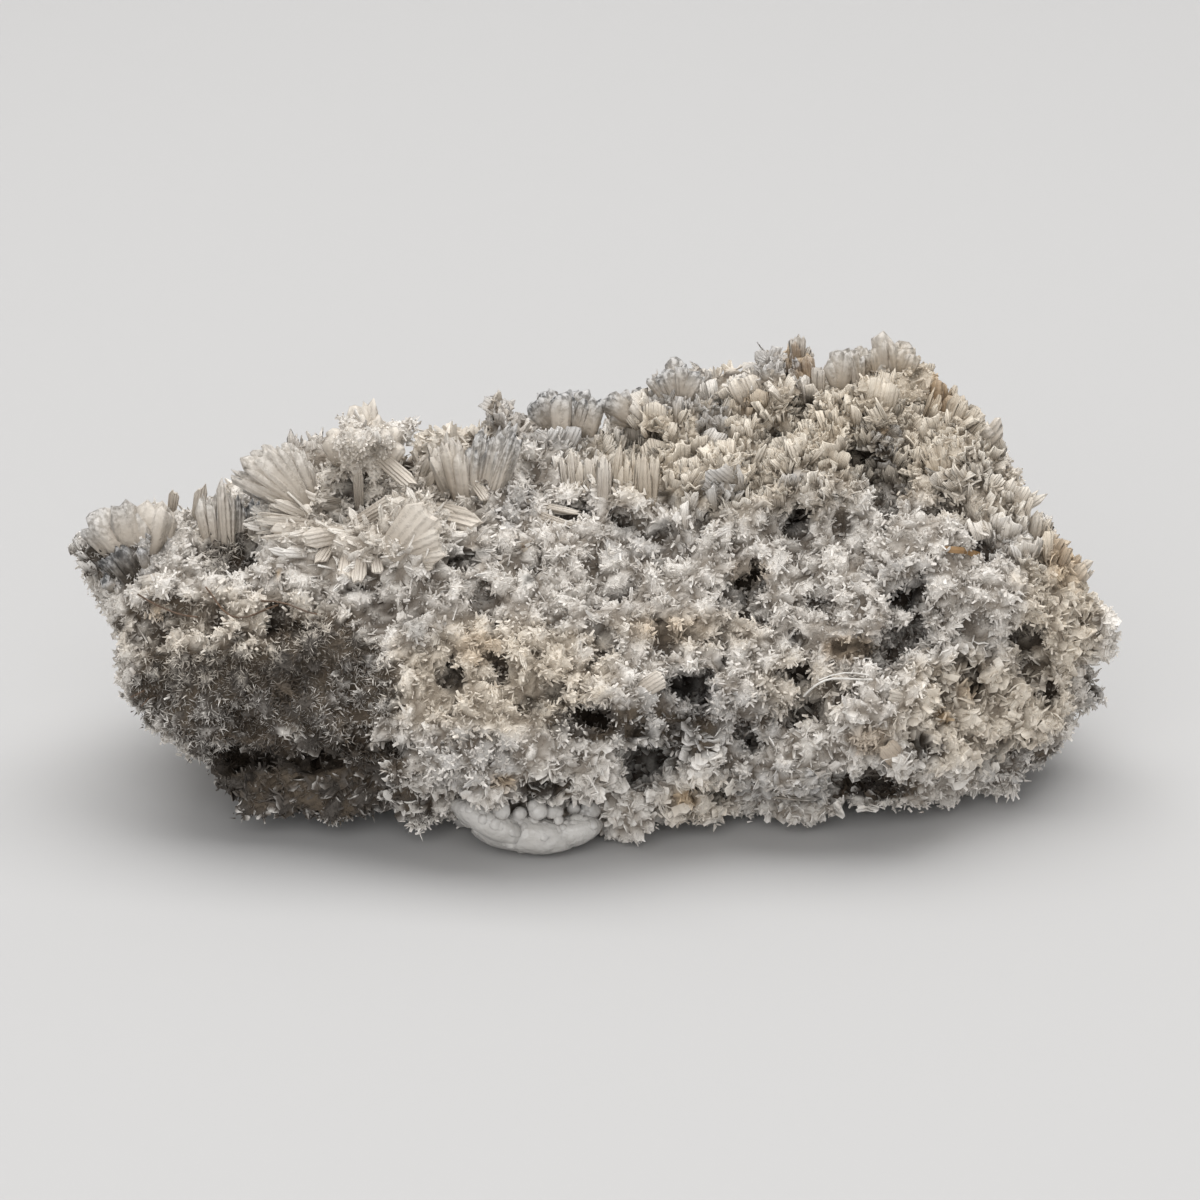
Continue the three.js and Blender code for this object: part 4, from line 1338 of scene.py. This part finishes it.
# %% Place the fans by the picture
FANS = {
    "west fan": dict(feet=[(302, 514), (310, 498)],
                     tips=[(228, 480), (231, 454), (250, 435), (277, 431), (306, 452)],
                     count=13, width=18, layers=3, crust=0.25),
    "west fan side": dict(feet=[(318, 522), (322, 532)], tips=[(252, 513), (249, 526), (258, 540)],
                          count=8, width=10, layers=2, crust=0.0),
    "west fan front": dict(feet=[(308, 512), (312, 520)], tips=[(256, 492), (258, 505)],
                           count=4, width=10, layers=1, crust=0.0),
    "flutes": dict(feet=[(208, 546), (224, 556), (250, 558)], tips=[(203, 486), (222, 479), (254, 490)],
                   count=12, width=10, layers=2, crust=0.35),
    "peak blades": dict(feet=[(338, 462), (388, 462)], tips=[(322, 430), (350, 400), (371, 389), (404, 442)],
                        count=9, width=24, layers=1, crust=0.0),
    "wing fan": dict(feet=[(108, 556), (160, 550)], tips=[(76, 526), (94, 502), (148, 487), (186, 500)],
                     count=9, width=26, layers=1, crust=0.15),
    "wing front": dict(feet=[(120, 590), (150, 580)], tips=[(84, 566), (96, 544), (140, 540)],
                       count=6, width=18, layers=1, crust=0.9),
    "upright left": dict(feet=[(444, 494), (466, 502)], tips=[(430, 446), (437, 434), (464, 430)],
                         count=9, width=14, layers=3, crust=0.15),
    "upright right": dict(feet=[(470, 502), (490, 508)],
                          tips=[(468, 430), (494, 420), (513, 412), (524, 424)],
                          count=12, width=13, layers=3, crust=0.6),
    "glassy steps": dict(feet=[(411, 478), (436, 496)], tips=[(424, 448), (452, 474)],
                         count=5, width=10, layers=1, crust=0.0),
    "low spray": dict(feet=[(520, 498), (534, 516)], tips=[(574, 512), (594, 530), (580, 538)],
                      count=8, width=7, layers=1, crust=0.0),
    "block fan": dict(feet=[(566, 512), (655, 516)], tips=[(560, 448), (610, 441), (660, 438)],
                      count=20, width=9, layers=2, crust=0.05),
    "horn fan": dict(feet=[(558, 430), (584, 430)], tips=[(534, 396), (550, 388), (566, 380), (602, 392)],
                     count=10, width=20, layers=2, crust=0.7, jitter=6),
    "notch rise": dict(feet=[(612, 424), (634, 422)], tips=[(604, 396), (616, 392), (642, 385)],
                       count=8, width=19, layers=2, crust=0.6, jitter=6),
    "middle fan": dict(feet=[(664, 400), (690, 400)], tips=[(646, 374), (668, 369), (704, 370)],
                       count=8, width=20, layers=2, crust=0.6, jitter=6),
    "east shoulder": dict(feet=[(934, 412), (984, 446)],
                          tips=[(942, 364), (962, 382), (984, 414), (1002, 426)],
                          count=10, width=13, layers=2, crust=0.05),
    "right shoulder": dict(feet=[(1018, 530), (1080, 590)], tips=[(1030, 490), (1062, 530), (1098, 572)],
                           count=10, width=12, layers=2, crust=0.0),
    "east spray": dict(feet=[(940, 488), (952, 490)], tips=[(919, 456), (924, 440), (946, 431), (968, 434)],
                       count=10, width=10, layers=2, crust=0.0),
    "ochre fan": dict(feet=[(800, 392), (822, 394)], tips=[(786, 356), (800, 350), (826, 352)],
                      count=8, width=12, layers=1, crust=0.2),
    "brown fan": dict(feet=[(868, 752), (876, 750)], tips=[(852, 728), (870, 720), (888, 728)],
                      count=8, width=8, layers=1, crust=0.0),
    "ochre tip": dict(feet=[(794, 368), (804, 368)], tips=[(787, 345), (798, 333), (812, 347)],
                      count=6, width=10, layers=2, crust=0.3),
    "middle tip": dict(feet=[(836, 374), (862, 374)], tips=[(828, 353), (850, 342), (868, 351)],
                       count=9, width=18, layers=2, crust=0.4),
    "summit tip": dict(feet=[(872, 372), (908, 374)], tips=[(868, 346), (887, 333), (916, 349)],
                       count=10, width=19, layers=2, crust=0.3, jitter=6),
    "flat plates": dict(feet=[(758, 776), (762, 796)], tips=[(830, 776), (836, 800)],
                        count=4, width=14, layers=1, crust=0.2),
    "wing blade": dict(feet=[(184, 566), (190, 584)], tips=[(124, 590), (128, 602)],
                       count=3, width=13, layers=1, crust=0.0),
}
FAN_JITTER = 4.5
FAN_LIFT = 0.22
FAN_STRETCH = 1.08
LAYER_GAP = 0.9 * MM
FAN_THICK = 0.5
FAN_SHADE = 0.5
FAN_DARKENING = 1.3
FAN_CREAM = 0.4
FAN_GREY = 0.25
END_SHARE = 0.8
MOST_FORWARD = 2.5 * MM
ROOT_SUNK = 0.8 * MM


def along_line(corners, share):
    """The picture point that lies a share of the way through a row of corners."""
    places = np.linspace(0, 1, len(corners))
    return tuple(np.interp(share, places, [corner[axis] for corner in corners]) for axis in (0, 1))


def crystal_in_picture(foot, tip, width, lift=FAN_LIFT, behind=0.0, flatness=0.5, above=0.35 * MM):
    """The root, axes and sizes of a crystal that the picture shows from foot to tip."""
    view = np.array(forward)
    place, _ = seen_at(body_tree, foot)
    away = np.array(ray_through(*tip))
    depth = (place - np.array(eye)) @ view
    end = np.array(eye) + away * depth / (away @ view)
    end -= view * lift * np.linalg.norm(end - place)
    wall = body_tree.ray_cast(eye, Vector(away), CAST_LIMIT)[0]
    if wall is not None:
        in_front = max(0.0, (end - np.array(wall)) @ view + above)
        end -= view * min(in_front, MOST_FORWARD)
    root = place + view * (ROOT_SUNK + behind)
    end += view * behind
    along = end - root
    broad = width / PIXELS_PER_MM * MM
    return root, unit(along), unit(np.cross(along, view)), (broad, flatness * broad, np.linalg.norm(along))


def fan_blades(random, fan):
    """The blades of a fan, from the front layer to the back one."""
    blades = []
    jitter = fan.get("jitter", FAN_JITTER)
    for layer in range(fan["layers"]):
        for i in range(fan["count"]):
            share = np.clip((i + random.uniform(0.2, 0.8)) / fan["count"], 0, 1)
            foot = np.array(along_line(fan["feet"], share))
            tip = np.array(along_line(fan["tips"], share)) + random.normal(0, jitter, 2)
            tip = foot + (tip - foot) * (FAN_STRETCH - 0.5 * (1 - random.beta(4, 1)))
            width = fan["width"] * random.uniform(0.5, 1.4)
            blade = crystal_in_picture(foot, tip, width, behind=layer * LAYER_GAP, flatness=FAN_THICK)
            root, along, across, size = blade
            across = unit(across + 0.45 * random.normal() * np.cross(along, across))
            blades.append((root, along, across, size))
    return blades


def set_shapes(name, shapes, blades, finish, crust=0.0):
    """Makes one piece of the shapes: a blade is a root, a direction, a width axis and three sizes."""
    roots, alongs, acrosses, sizes = zip(*blades)
    marks = new_object(f"{name} marks", roots, [])
    for label, vectors in (("along", alongs), ("across", acrosses), ("size", sizes)):
        store_vectors(marks, label, vectors)
    ends = np.array(roots) + END_SHARE * np.array(alongs) * np.array(sizes)[:, 2:]
    tints = tints_at(ends)
    tints["crust"] = np.maximum(crust, tints["grey"])
    tints["grey"] = FAN_GREY * tints["grey"]
    tints["cream"] = np.maximum(tints["cream"], FAN_CREAM)
    for tint, values in tints.items():
        store(marks, tint, values)
    store(marks, "chance", 0.5 * np.random.default_rng(len(roots)).random(len(roots)))
    # Painted shade at the feet of the blades, and an overall darker tone for the fans.
    store(marks, "crease", np.full(len(roots), FAN_SHADE))
    store(marks, "darkening", np.full(len(roots), FAN_DARKENING))
    piece = grow(name, shape_tree, marks, Shapes=shapes, Finish=finish)
    bpy.data.objects.remove(marks)
    return piece


random = np.random.default_rng(31)
fan_rows, fan_crust = [], []
for fan in FANS.values():
    blades = fan_blades(random, fan)
    fan_rows += blades
    fan_crust += [fan["crust"]] * len(blades)
long_blades = shape_collection(
    "long blade", 8, 22, lambda random: folded_plate(random, 0.65, 5, 4, 0.22, 0.3), ridges=3, smooth=True
)
crest = set_shapes("crest_fans", long_blades, fan_rows, crystal_finish, crust=np.array(fan_crust))

# %% [markdown]
# The white star and some loose blades show one by one in the picture, so each is given by the picture
# points of its foot and its tip and by its width in pixels. The foot is found on the wall, and the tip
# comes a little nearer to the eye than the foot, because the crystals grow out of the wall.

# %% Place the large crystals one by one
STAR_CRYSTALS = (
    ((359, 512), (359, 464), 9),
    ((348, 495), (316, 489), 7),
    ((346, 503), (314, 498), 7),
    ((346, 510), (318, 506), 6),
    ((342, 533), (300, 541), 17),
    ((340, 528), (304, 534), 10),
    ((352, 526), (411, 491), 14),
    ((372, 450), (420, 492), 14),
    ((398, 478), (482, 524), 16),
    ((392, 556), (437, 504), 36),
    ((396, 558), (449, 549), 20),
    ((400, 548), (446, 528), 26),
    ((386, 548), (426, 498), 18),
    ((440, 518), (484, 530), 22),
    ((436, 508), (478, 520), 14),
    ((350, 548), (346, 582), 15),
    ((360, 552), (358, 586), 13),
    ((374, 552), (380, 578), 10),
    ((332, 540), (318, 566), 11),
    ((404, 562), (440, 566), 12),
    ((470, 476), (490, 503), 10),
    ((905, 768), (880, 740), 18),
    ((918, 702), (884, 694), 14),
    ((640, 692), (668, 674), 16),
    ((206, 496), (204, 481), 11),
    ((178, 500), (176, 488), 9),
)
STAR_LIFT = 0.32
STAR_FLATNESS = 0.42
STAR_WIDENING = 1.2
STAR_ABOVE = 1.0 * MM

star_blades = shape_collection(
    "star blade", 6, 41, lambda random: folded_plate(random, 0.75, 5, 3, 0.14, 0.16), ridges=5
)
star_look = dict(lift=STAR_LIFT, flatness=STAR_FLATNESS, above=STAR_ABOVE)
star_rows = [
    crystal_in_picture(foot, tip, STAR_WIDENING * width, **star_look) for foot, tip, width in STAR_CRYSTALS
]
star = set_shapes("star_crystals", star_blades, star_rows, crystal_finish)

# %% [markdown]
# ## The glassy foot
# Under the middle hangs a crust of milky white beads along a smooth rim, here three flat lenses with beads
# on them. Their finish is glassy and lets a little light through, with milk in it. One blob made by merging
# many balls would lose the beads, so they are one round shape, set many times.

# %% Set the beads of the foot
FOOT_LEFT, FOOT_RIGHT = 458, 592
FOOT_TOP, FOOT_BOTTOM = 806, 852
BEADS = 75
LENS_BEADS = 75
LENSES = (
    dict(at=(488, 821), size=(6.0, 4.0, 2.4), tilt=-0.5),
    dict(at=(526, 834), size=(8.0, 4.8, 3.0), tilt=-0.12),
    dict(at=(566, 833), size=(5.6, 4.0, 2.4), tilt=0.22),
)
LENS_DEPTH = 0.3
LENS_SKIN = 0.47
MILK_SCALE = 700.0
MILK_DULL = (0.48, 0.455, 0.42, 1)
MILK_BRIGHT = (0.78, 0.76, 0.73, 1)
GLASS_SCALE = 1500.0
GLASS_DEPTH = 0.3 * MM


def bead_shape(random, subdivisions=2):
    """A round bead of a few dozen faces, one unit across."""
    ball = bmesh.new()
    bmesh.ops.create_icosphere(ball, subdivisions=subdivisions, radius=0.5)
    vertices = [tuple(v.co * random.uniform(0.94, 1.04)) for v in ball.verts]
    faces = [tuple(v.index for v in face.verts) for face in ball.faces]
    ball.free()
    return vertices, faces


def clear_material(name):
    """A glassy finish with milk in it."""
    material, shader = new_material(name)
    start = Socket(material.node_tree)
    place = start.place()
    milk = start.mix(start.grain(place, MILK_SCALE, 3.0), MILK_DULL, MILK_BRIGHT)
    bump = start.bump(start.grain(place, GLASS_SCALE, 4.0), 0.8, GLASS_DEPTH)
    feed(shader, {"Base Color": milk, "Normal": bump, "Roughness": 0.22, "IOR": ALBITE_IOR})
    feed(shader, {"Transmission Weight": 0.12, "Subsurface Weight": 0.15})
    feed(shader, {"Subsurface Radius": (1.0, 0.95, 0.9), "Subsurface Scale": 0.6 * MM})
    return material


def bead_on(random, place, outward, smallest, largest, flatness):
    """A bead at a place, of a size between two limits in mm, flattened along its outward direction."""
    bead = random.uniform(smallest, largest) * MM
    return place, outward, unit(np.cross(outward, random.normal(size=3))), (bead, bead, flatness * bead)


clear_finish = clear_material("clear albite")
random = np.random.default_rng(51)
bead_rows = []
for _ in range(BEADS):
    across_foot = random.uniform(-1, 1)
    at = (
        (FOOT_LEFT + FOOT_RIGHT) / 2 + across_foot * (FOOT_RIGHT - FOOT_LEFT) / 2,
        FOOT_TOP + random.random() * (FOOT_BOTTOM - FOOT_TOP) * (1 - 0.7 * across_foot**2),
    )
    bead_rows.append(bead_on(random, *seen_at(body_tree, at), 0.6, 1.5, flatness=0.8))
lens_rows = []
for form in LENSES:
    size = np.array(form["size"]) * MM
    across = np.array([math.cos(form["tilt"]), 0, 0]) + math.sin(form["tilt"]) * np.array(picture_up)
    place = seen_at(body_tree, form["at"])[0] + np.array(forward) * LENS_DEPTH * size[1]
    lens_rows.append((place, np.cross(-np.array(forward), across), across, size))
for i in range(LENS_BEADS):
    place, upward, across, size = lens_rows[i % len(lens_rows)]
    outward = unit(np.array([random.uniform(-1, 1), 0.7, random.uniform(0.0, 0.8)]))
    lens_axes = np.array([across, -np.array(forward), upward])
    on_skin = place + (LENS_SKIN * outward * size) @ lens_axes
    bead_rows.append(bead_on(random, on_skin, unit((outward / size) @ lens_axes), 0.35, 1.0, flatness=0.5))
beads = shape_collection("bead", 3, 52, bead_shape, smooth=True)
foot = set_shapes("foot_beads", beads, bead_rows, clear_finish)
lens_shape = shape_collection("lens", 1, 53, lambda random: bead_shape(random, 3), smooth=True)
lens = set_shapes("foot_lens", lens_shape, lens_rows, clear_finish)

# %% [markdown]
# On the real foot the glass is outermost. Here the rock was shaped before the glass was laid over it, and a
# few of its bumps would poke through. The glass could be moved forwards, but its place is the picture's, so
# the rock behind it is drawn back instead.

# %% Draw the rock back behind the glass
ROCK_BACK = 1.2 * MM
ROCK_UP = 0.8 * MM
points = points_of(body)
behind_glass = near_zone(points, foot_centre, FOOT_ZONE)
drawn = ROCK_BACK * np.array(forward) + ROCK_UP * np.array(picture_up)
move_points(body, points + behind_glass[:, None] * drawn)
print(f"rock behind the glass: {np.count_nonzero(behind_glass)} points drawn back")

# %% [markdown]
# ## Hairs, a fibre and two flakes
# A few dark hairs cling to the left, a white fibre curls over the middle, and two thin ochre flakes lie on
# the white shelf. A hair is a thin tube: its picture points are dropped on the wall, smoothed a little and
# lifted, so it lies on the crystals instead of in the rock. The first number of each is its thickness in mm.

# %% Lay the hairs
HAIRS = {
    "hair_over_the_slope": (
        0.13, (139, 594), (148, 600), (157, 605), (167, 609), (178, 614), (188, 617), (199, 617)
    ),
    "hair_by_the_cave": (
        0.13, (207, 587), (214, 595), (219, 604), (223, 611), (231, 617), (239, 620), (250, 619), (262, 611),
        (271, 607), (279, 605)
    ),
    "hair_over_the_cave": (0.13, (262, 601), (276, 600), (290, 601), (302, 611), (310, 614), (318, 614)),
    "white_fibre": (
        0.16, (803, 696), (808, 690), (813, 686), (819, 682), (825, 679), (831, 678), (837, 677), (854, 679),
        (863, 680), (871, 679)
    ),
    "white_fibre_strand": (0.1, (818, 680), (830, 673), (844, 671), (858, 672), (868, 675)),
    "loose_hair": (0.08, (146, 690), (141, 692), (136, 696), (132, 697)),
    "loose_hair_below": (0.08, (150, 698), (146, 703), (143, 706)),
}
HAIR_SIDES = 6
HAIR_LIFT = 1.05 * MM
HAIR_SMOOTHING = 2
STREAK_SCALE = 900.0


def faced_outwards(name, vertices, faces):
    """A new closed mesh whose faces all look outwards."""
    made = new_object(name, vertices, faces)
    shell = bmesh.new()
    shell.from_mesh(made.data)
    bmesh.ops.recalc_face_normals(shell, faces=shell.faces)
    shell.to_mesh(made.data)
    shell.free()
    return made


def tube(name, route, radius):
    """A thin closed tube through the points of a route."""
    vertices, faces = [], []
    for i, place in enumerate(route):
        ahead = unit(route[min(i + 1, len(route) - 1)] - route[max(i - 1, 0)])
        side = unit(np.cross(ahead, [0.1, 0.3, 1.0]))
        over = np.cross(side, ahead)
        for corner in range(HAIR_SIDES):
            turn = TURN * corner / HAIR_SIDES
            vertices.append(place + radius * (math.cos(turn) * side + math.sin(turn) * over))
    for ring in range(len(route) - 1):
        for corner in range(HAIR_SIDES):
            after = (corner + 1) % HAIR_SIDES
            first, second = ring * HAIR_SIDES, (ring + 1) * HAIR_SIDES
            faces.append((first + corner, first + after, second + after, second + corner))
    faces.append(tuple(range(HAIR_SIDES))[::-1])
    faces.append(tuple(range(len(vertices) - HAIR_SIDES, len(vertices))))
    return faced_outwards(name, vertices, faces)


def laid_route(points):
    """Picture points dropped on the wall, smoothed and lifted towards the eye."""
    route = np.array([seen_at(body_tree, at)[0] for at in points])
    for _ in range(HAIR_SMOOTHING):
        route[1:-1] = (route[:-2] + 2 * route[1:-1] + route[2:]) / 4
    return route - np.array(forward) * HAIR_LIFT


def fibre_material(name, dark, bright):
    """A matte finish with streaks between two colours."""
    material, shader = new_material(name)
    start = Socket(material.node_tree)
    streak = start.grain(start.place(), STREAK_SCALE, 2.0)
    feed(shader, {"Base Color": start.mix(streak, dark, bright), "Roughness": 0.5})
    return material


hair_finish = fibre_material("dark hair", (0.03, 0.02, 0.015, 1), (0.2, 0.12, 0.07, 1))
fibre_finish = fibre_material("white fibre", (0.6, 0.57, 0.52, 1), (0.9, 0.88, 0.84, 1))
fibres = []
for name, (thickness, *route) in HAIRS.items():
    strand = tube(name, laid_route(route), thickness * MM / 2)
    strand.data.materials.append(fibre_finish if name.startswith("white") else hair_finish)
    fibres.append(strand)
print("strands:", [strand.name for strand in fibres])

# %% Lay the two ochre flakes
FLAKES = {"ochre_flake": ((944, 549), (966, 551), 5), "ochre_flake_small": ((965, 552), (980, 557), 6)}
FLAKE_THICK = 0.12 * MM
FLAKE_STEPS = 7
FLAKE_LIFT = 0.5 * MM
FLAKE_WAVE = 0.3 * MM


def flake(name, first, last, width):
    """A thin strip with curled sides, closed all round."""
    ends = [seen_at(body_tree, at)[0] - np.array(forward) * FLAKE_LIFT for at in (first, last)]
    along = unit(ends[1] - ends[0])
    side = unit(np.cross(along, np.array(forward)))
    over = np.cross(side, along)
    half = width / PIXELS_PER_MM * MM / 2
    vertices = []
    for layer in (0, 1):
        for i in range(FLAKE_STEPS):
            share = i / (FLAKE_STEPS - 1)
            taper = 0.35 + math.sin(math.pi * share) ** 0.5
            spine = ends[0] + share * (ends[1] - ends[0])
            spine = spine + over * FLAKE_WAVE * math.sin(2.2 * math.pi * share)
            for across, curl in ((-1, 0.3), (0, 0), (1, 0.45)):
                rise = curl * half - layer * FLAKE_THICK
                vertices.append(spine + side * across * half * taper + over * rise)
    return faced_outwards(name, vertices, flake_faces())


def flake_faces():
    """The faces of two layers of a strip three corners wide, closed at its sides and ends."""
    faces = []
    count = 3 * FLAKE_STEPS
    for i in range(FLAKE_STEPS - 1):
        for j in (0, 1):
            a, b = 3 * i + j, 3 * i + j + 1
            faces.append((a, b, b + 3, a + 3))
            faces.append((a + count, a + 3 + count, b + 3 + count, b + count))
        for j in (0, 2):
            a = 3 * i + j
            faces.append((a, a + 3, a + 3 + count, a + count))
    for i in (0, FLAKE_STEPS - 1):
        for j in (0, 1):
            a = 3 * i + j
            faces.append((a, a + 1, a + 1 + count, a + count))
    return faces


flake_finish = fibre_material("ochre flake", (0.12, 0.06, 0.02, 1), (0.42, 0.26, 0.12, 1))
flakes = []
for name, (first, last, width) in FLAKES.items():
    scrap = flake(name, first, last, width)
    scrap.data.materials.append(flake_finish)
    flakes.append(scrap)

# %% [markdown]
# ## Keep to the solid's box, and ride on the body
# The looks may not change the size of the part. Every corner is held inside the CAD box, grown by one
# hundredth of each side, and above the floor. Then each piece rides on the one body, and the body of rock
# takes the place of the coarse solid.

# %% Hold every piece inside the box
BOX_MARGIN = 0.01
margin = BOX_MARGIN * (high - low)
stone = [body, crest, star, *coats]
pieces = [*stone, foot, lens, *fibres, *flakes]
for piece in pieces:
    inside = np.clip(points_of(piece), low - margin, high + margin)
    inside[:, 2] = np.maximum(inside[:, 2], low[2])
    move_points(piece, inside)

# %% Ride on the body and hide the coarse solid
for piece in pieces:
    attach(piece, "root")
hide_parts("albite_cluster")
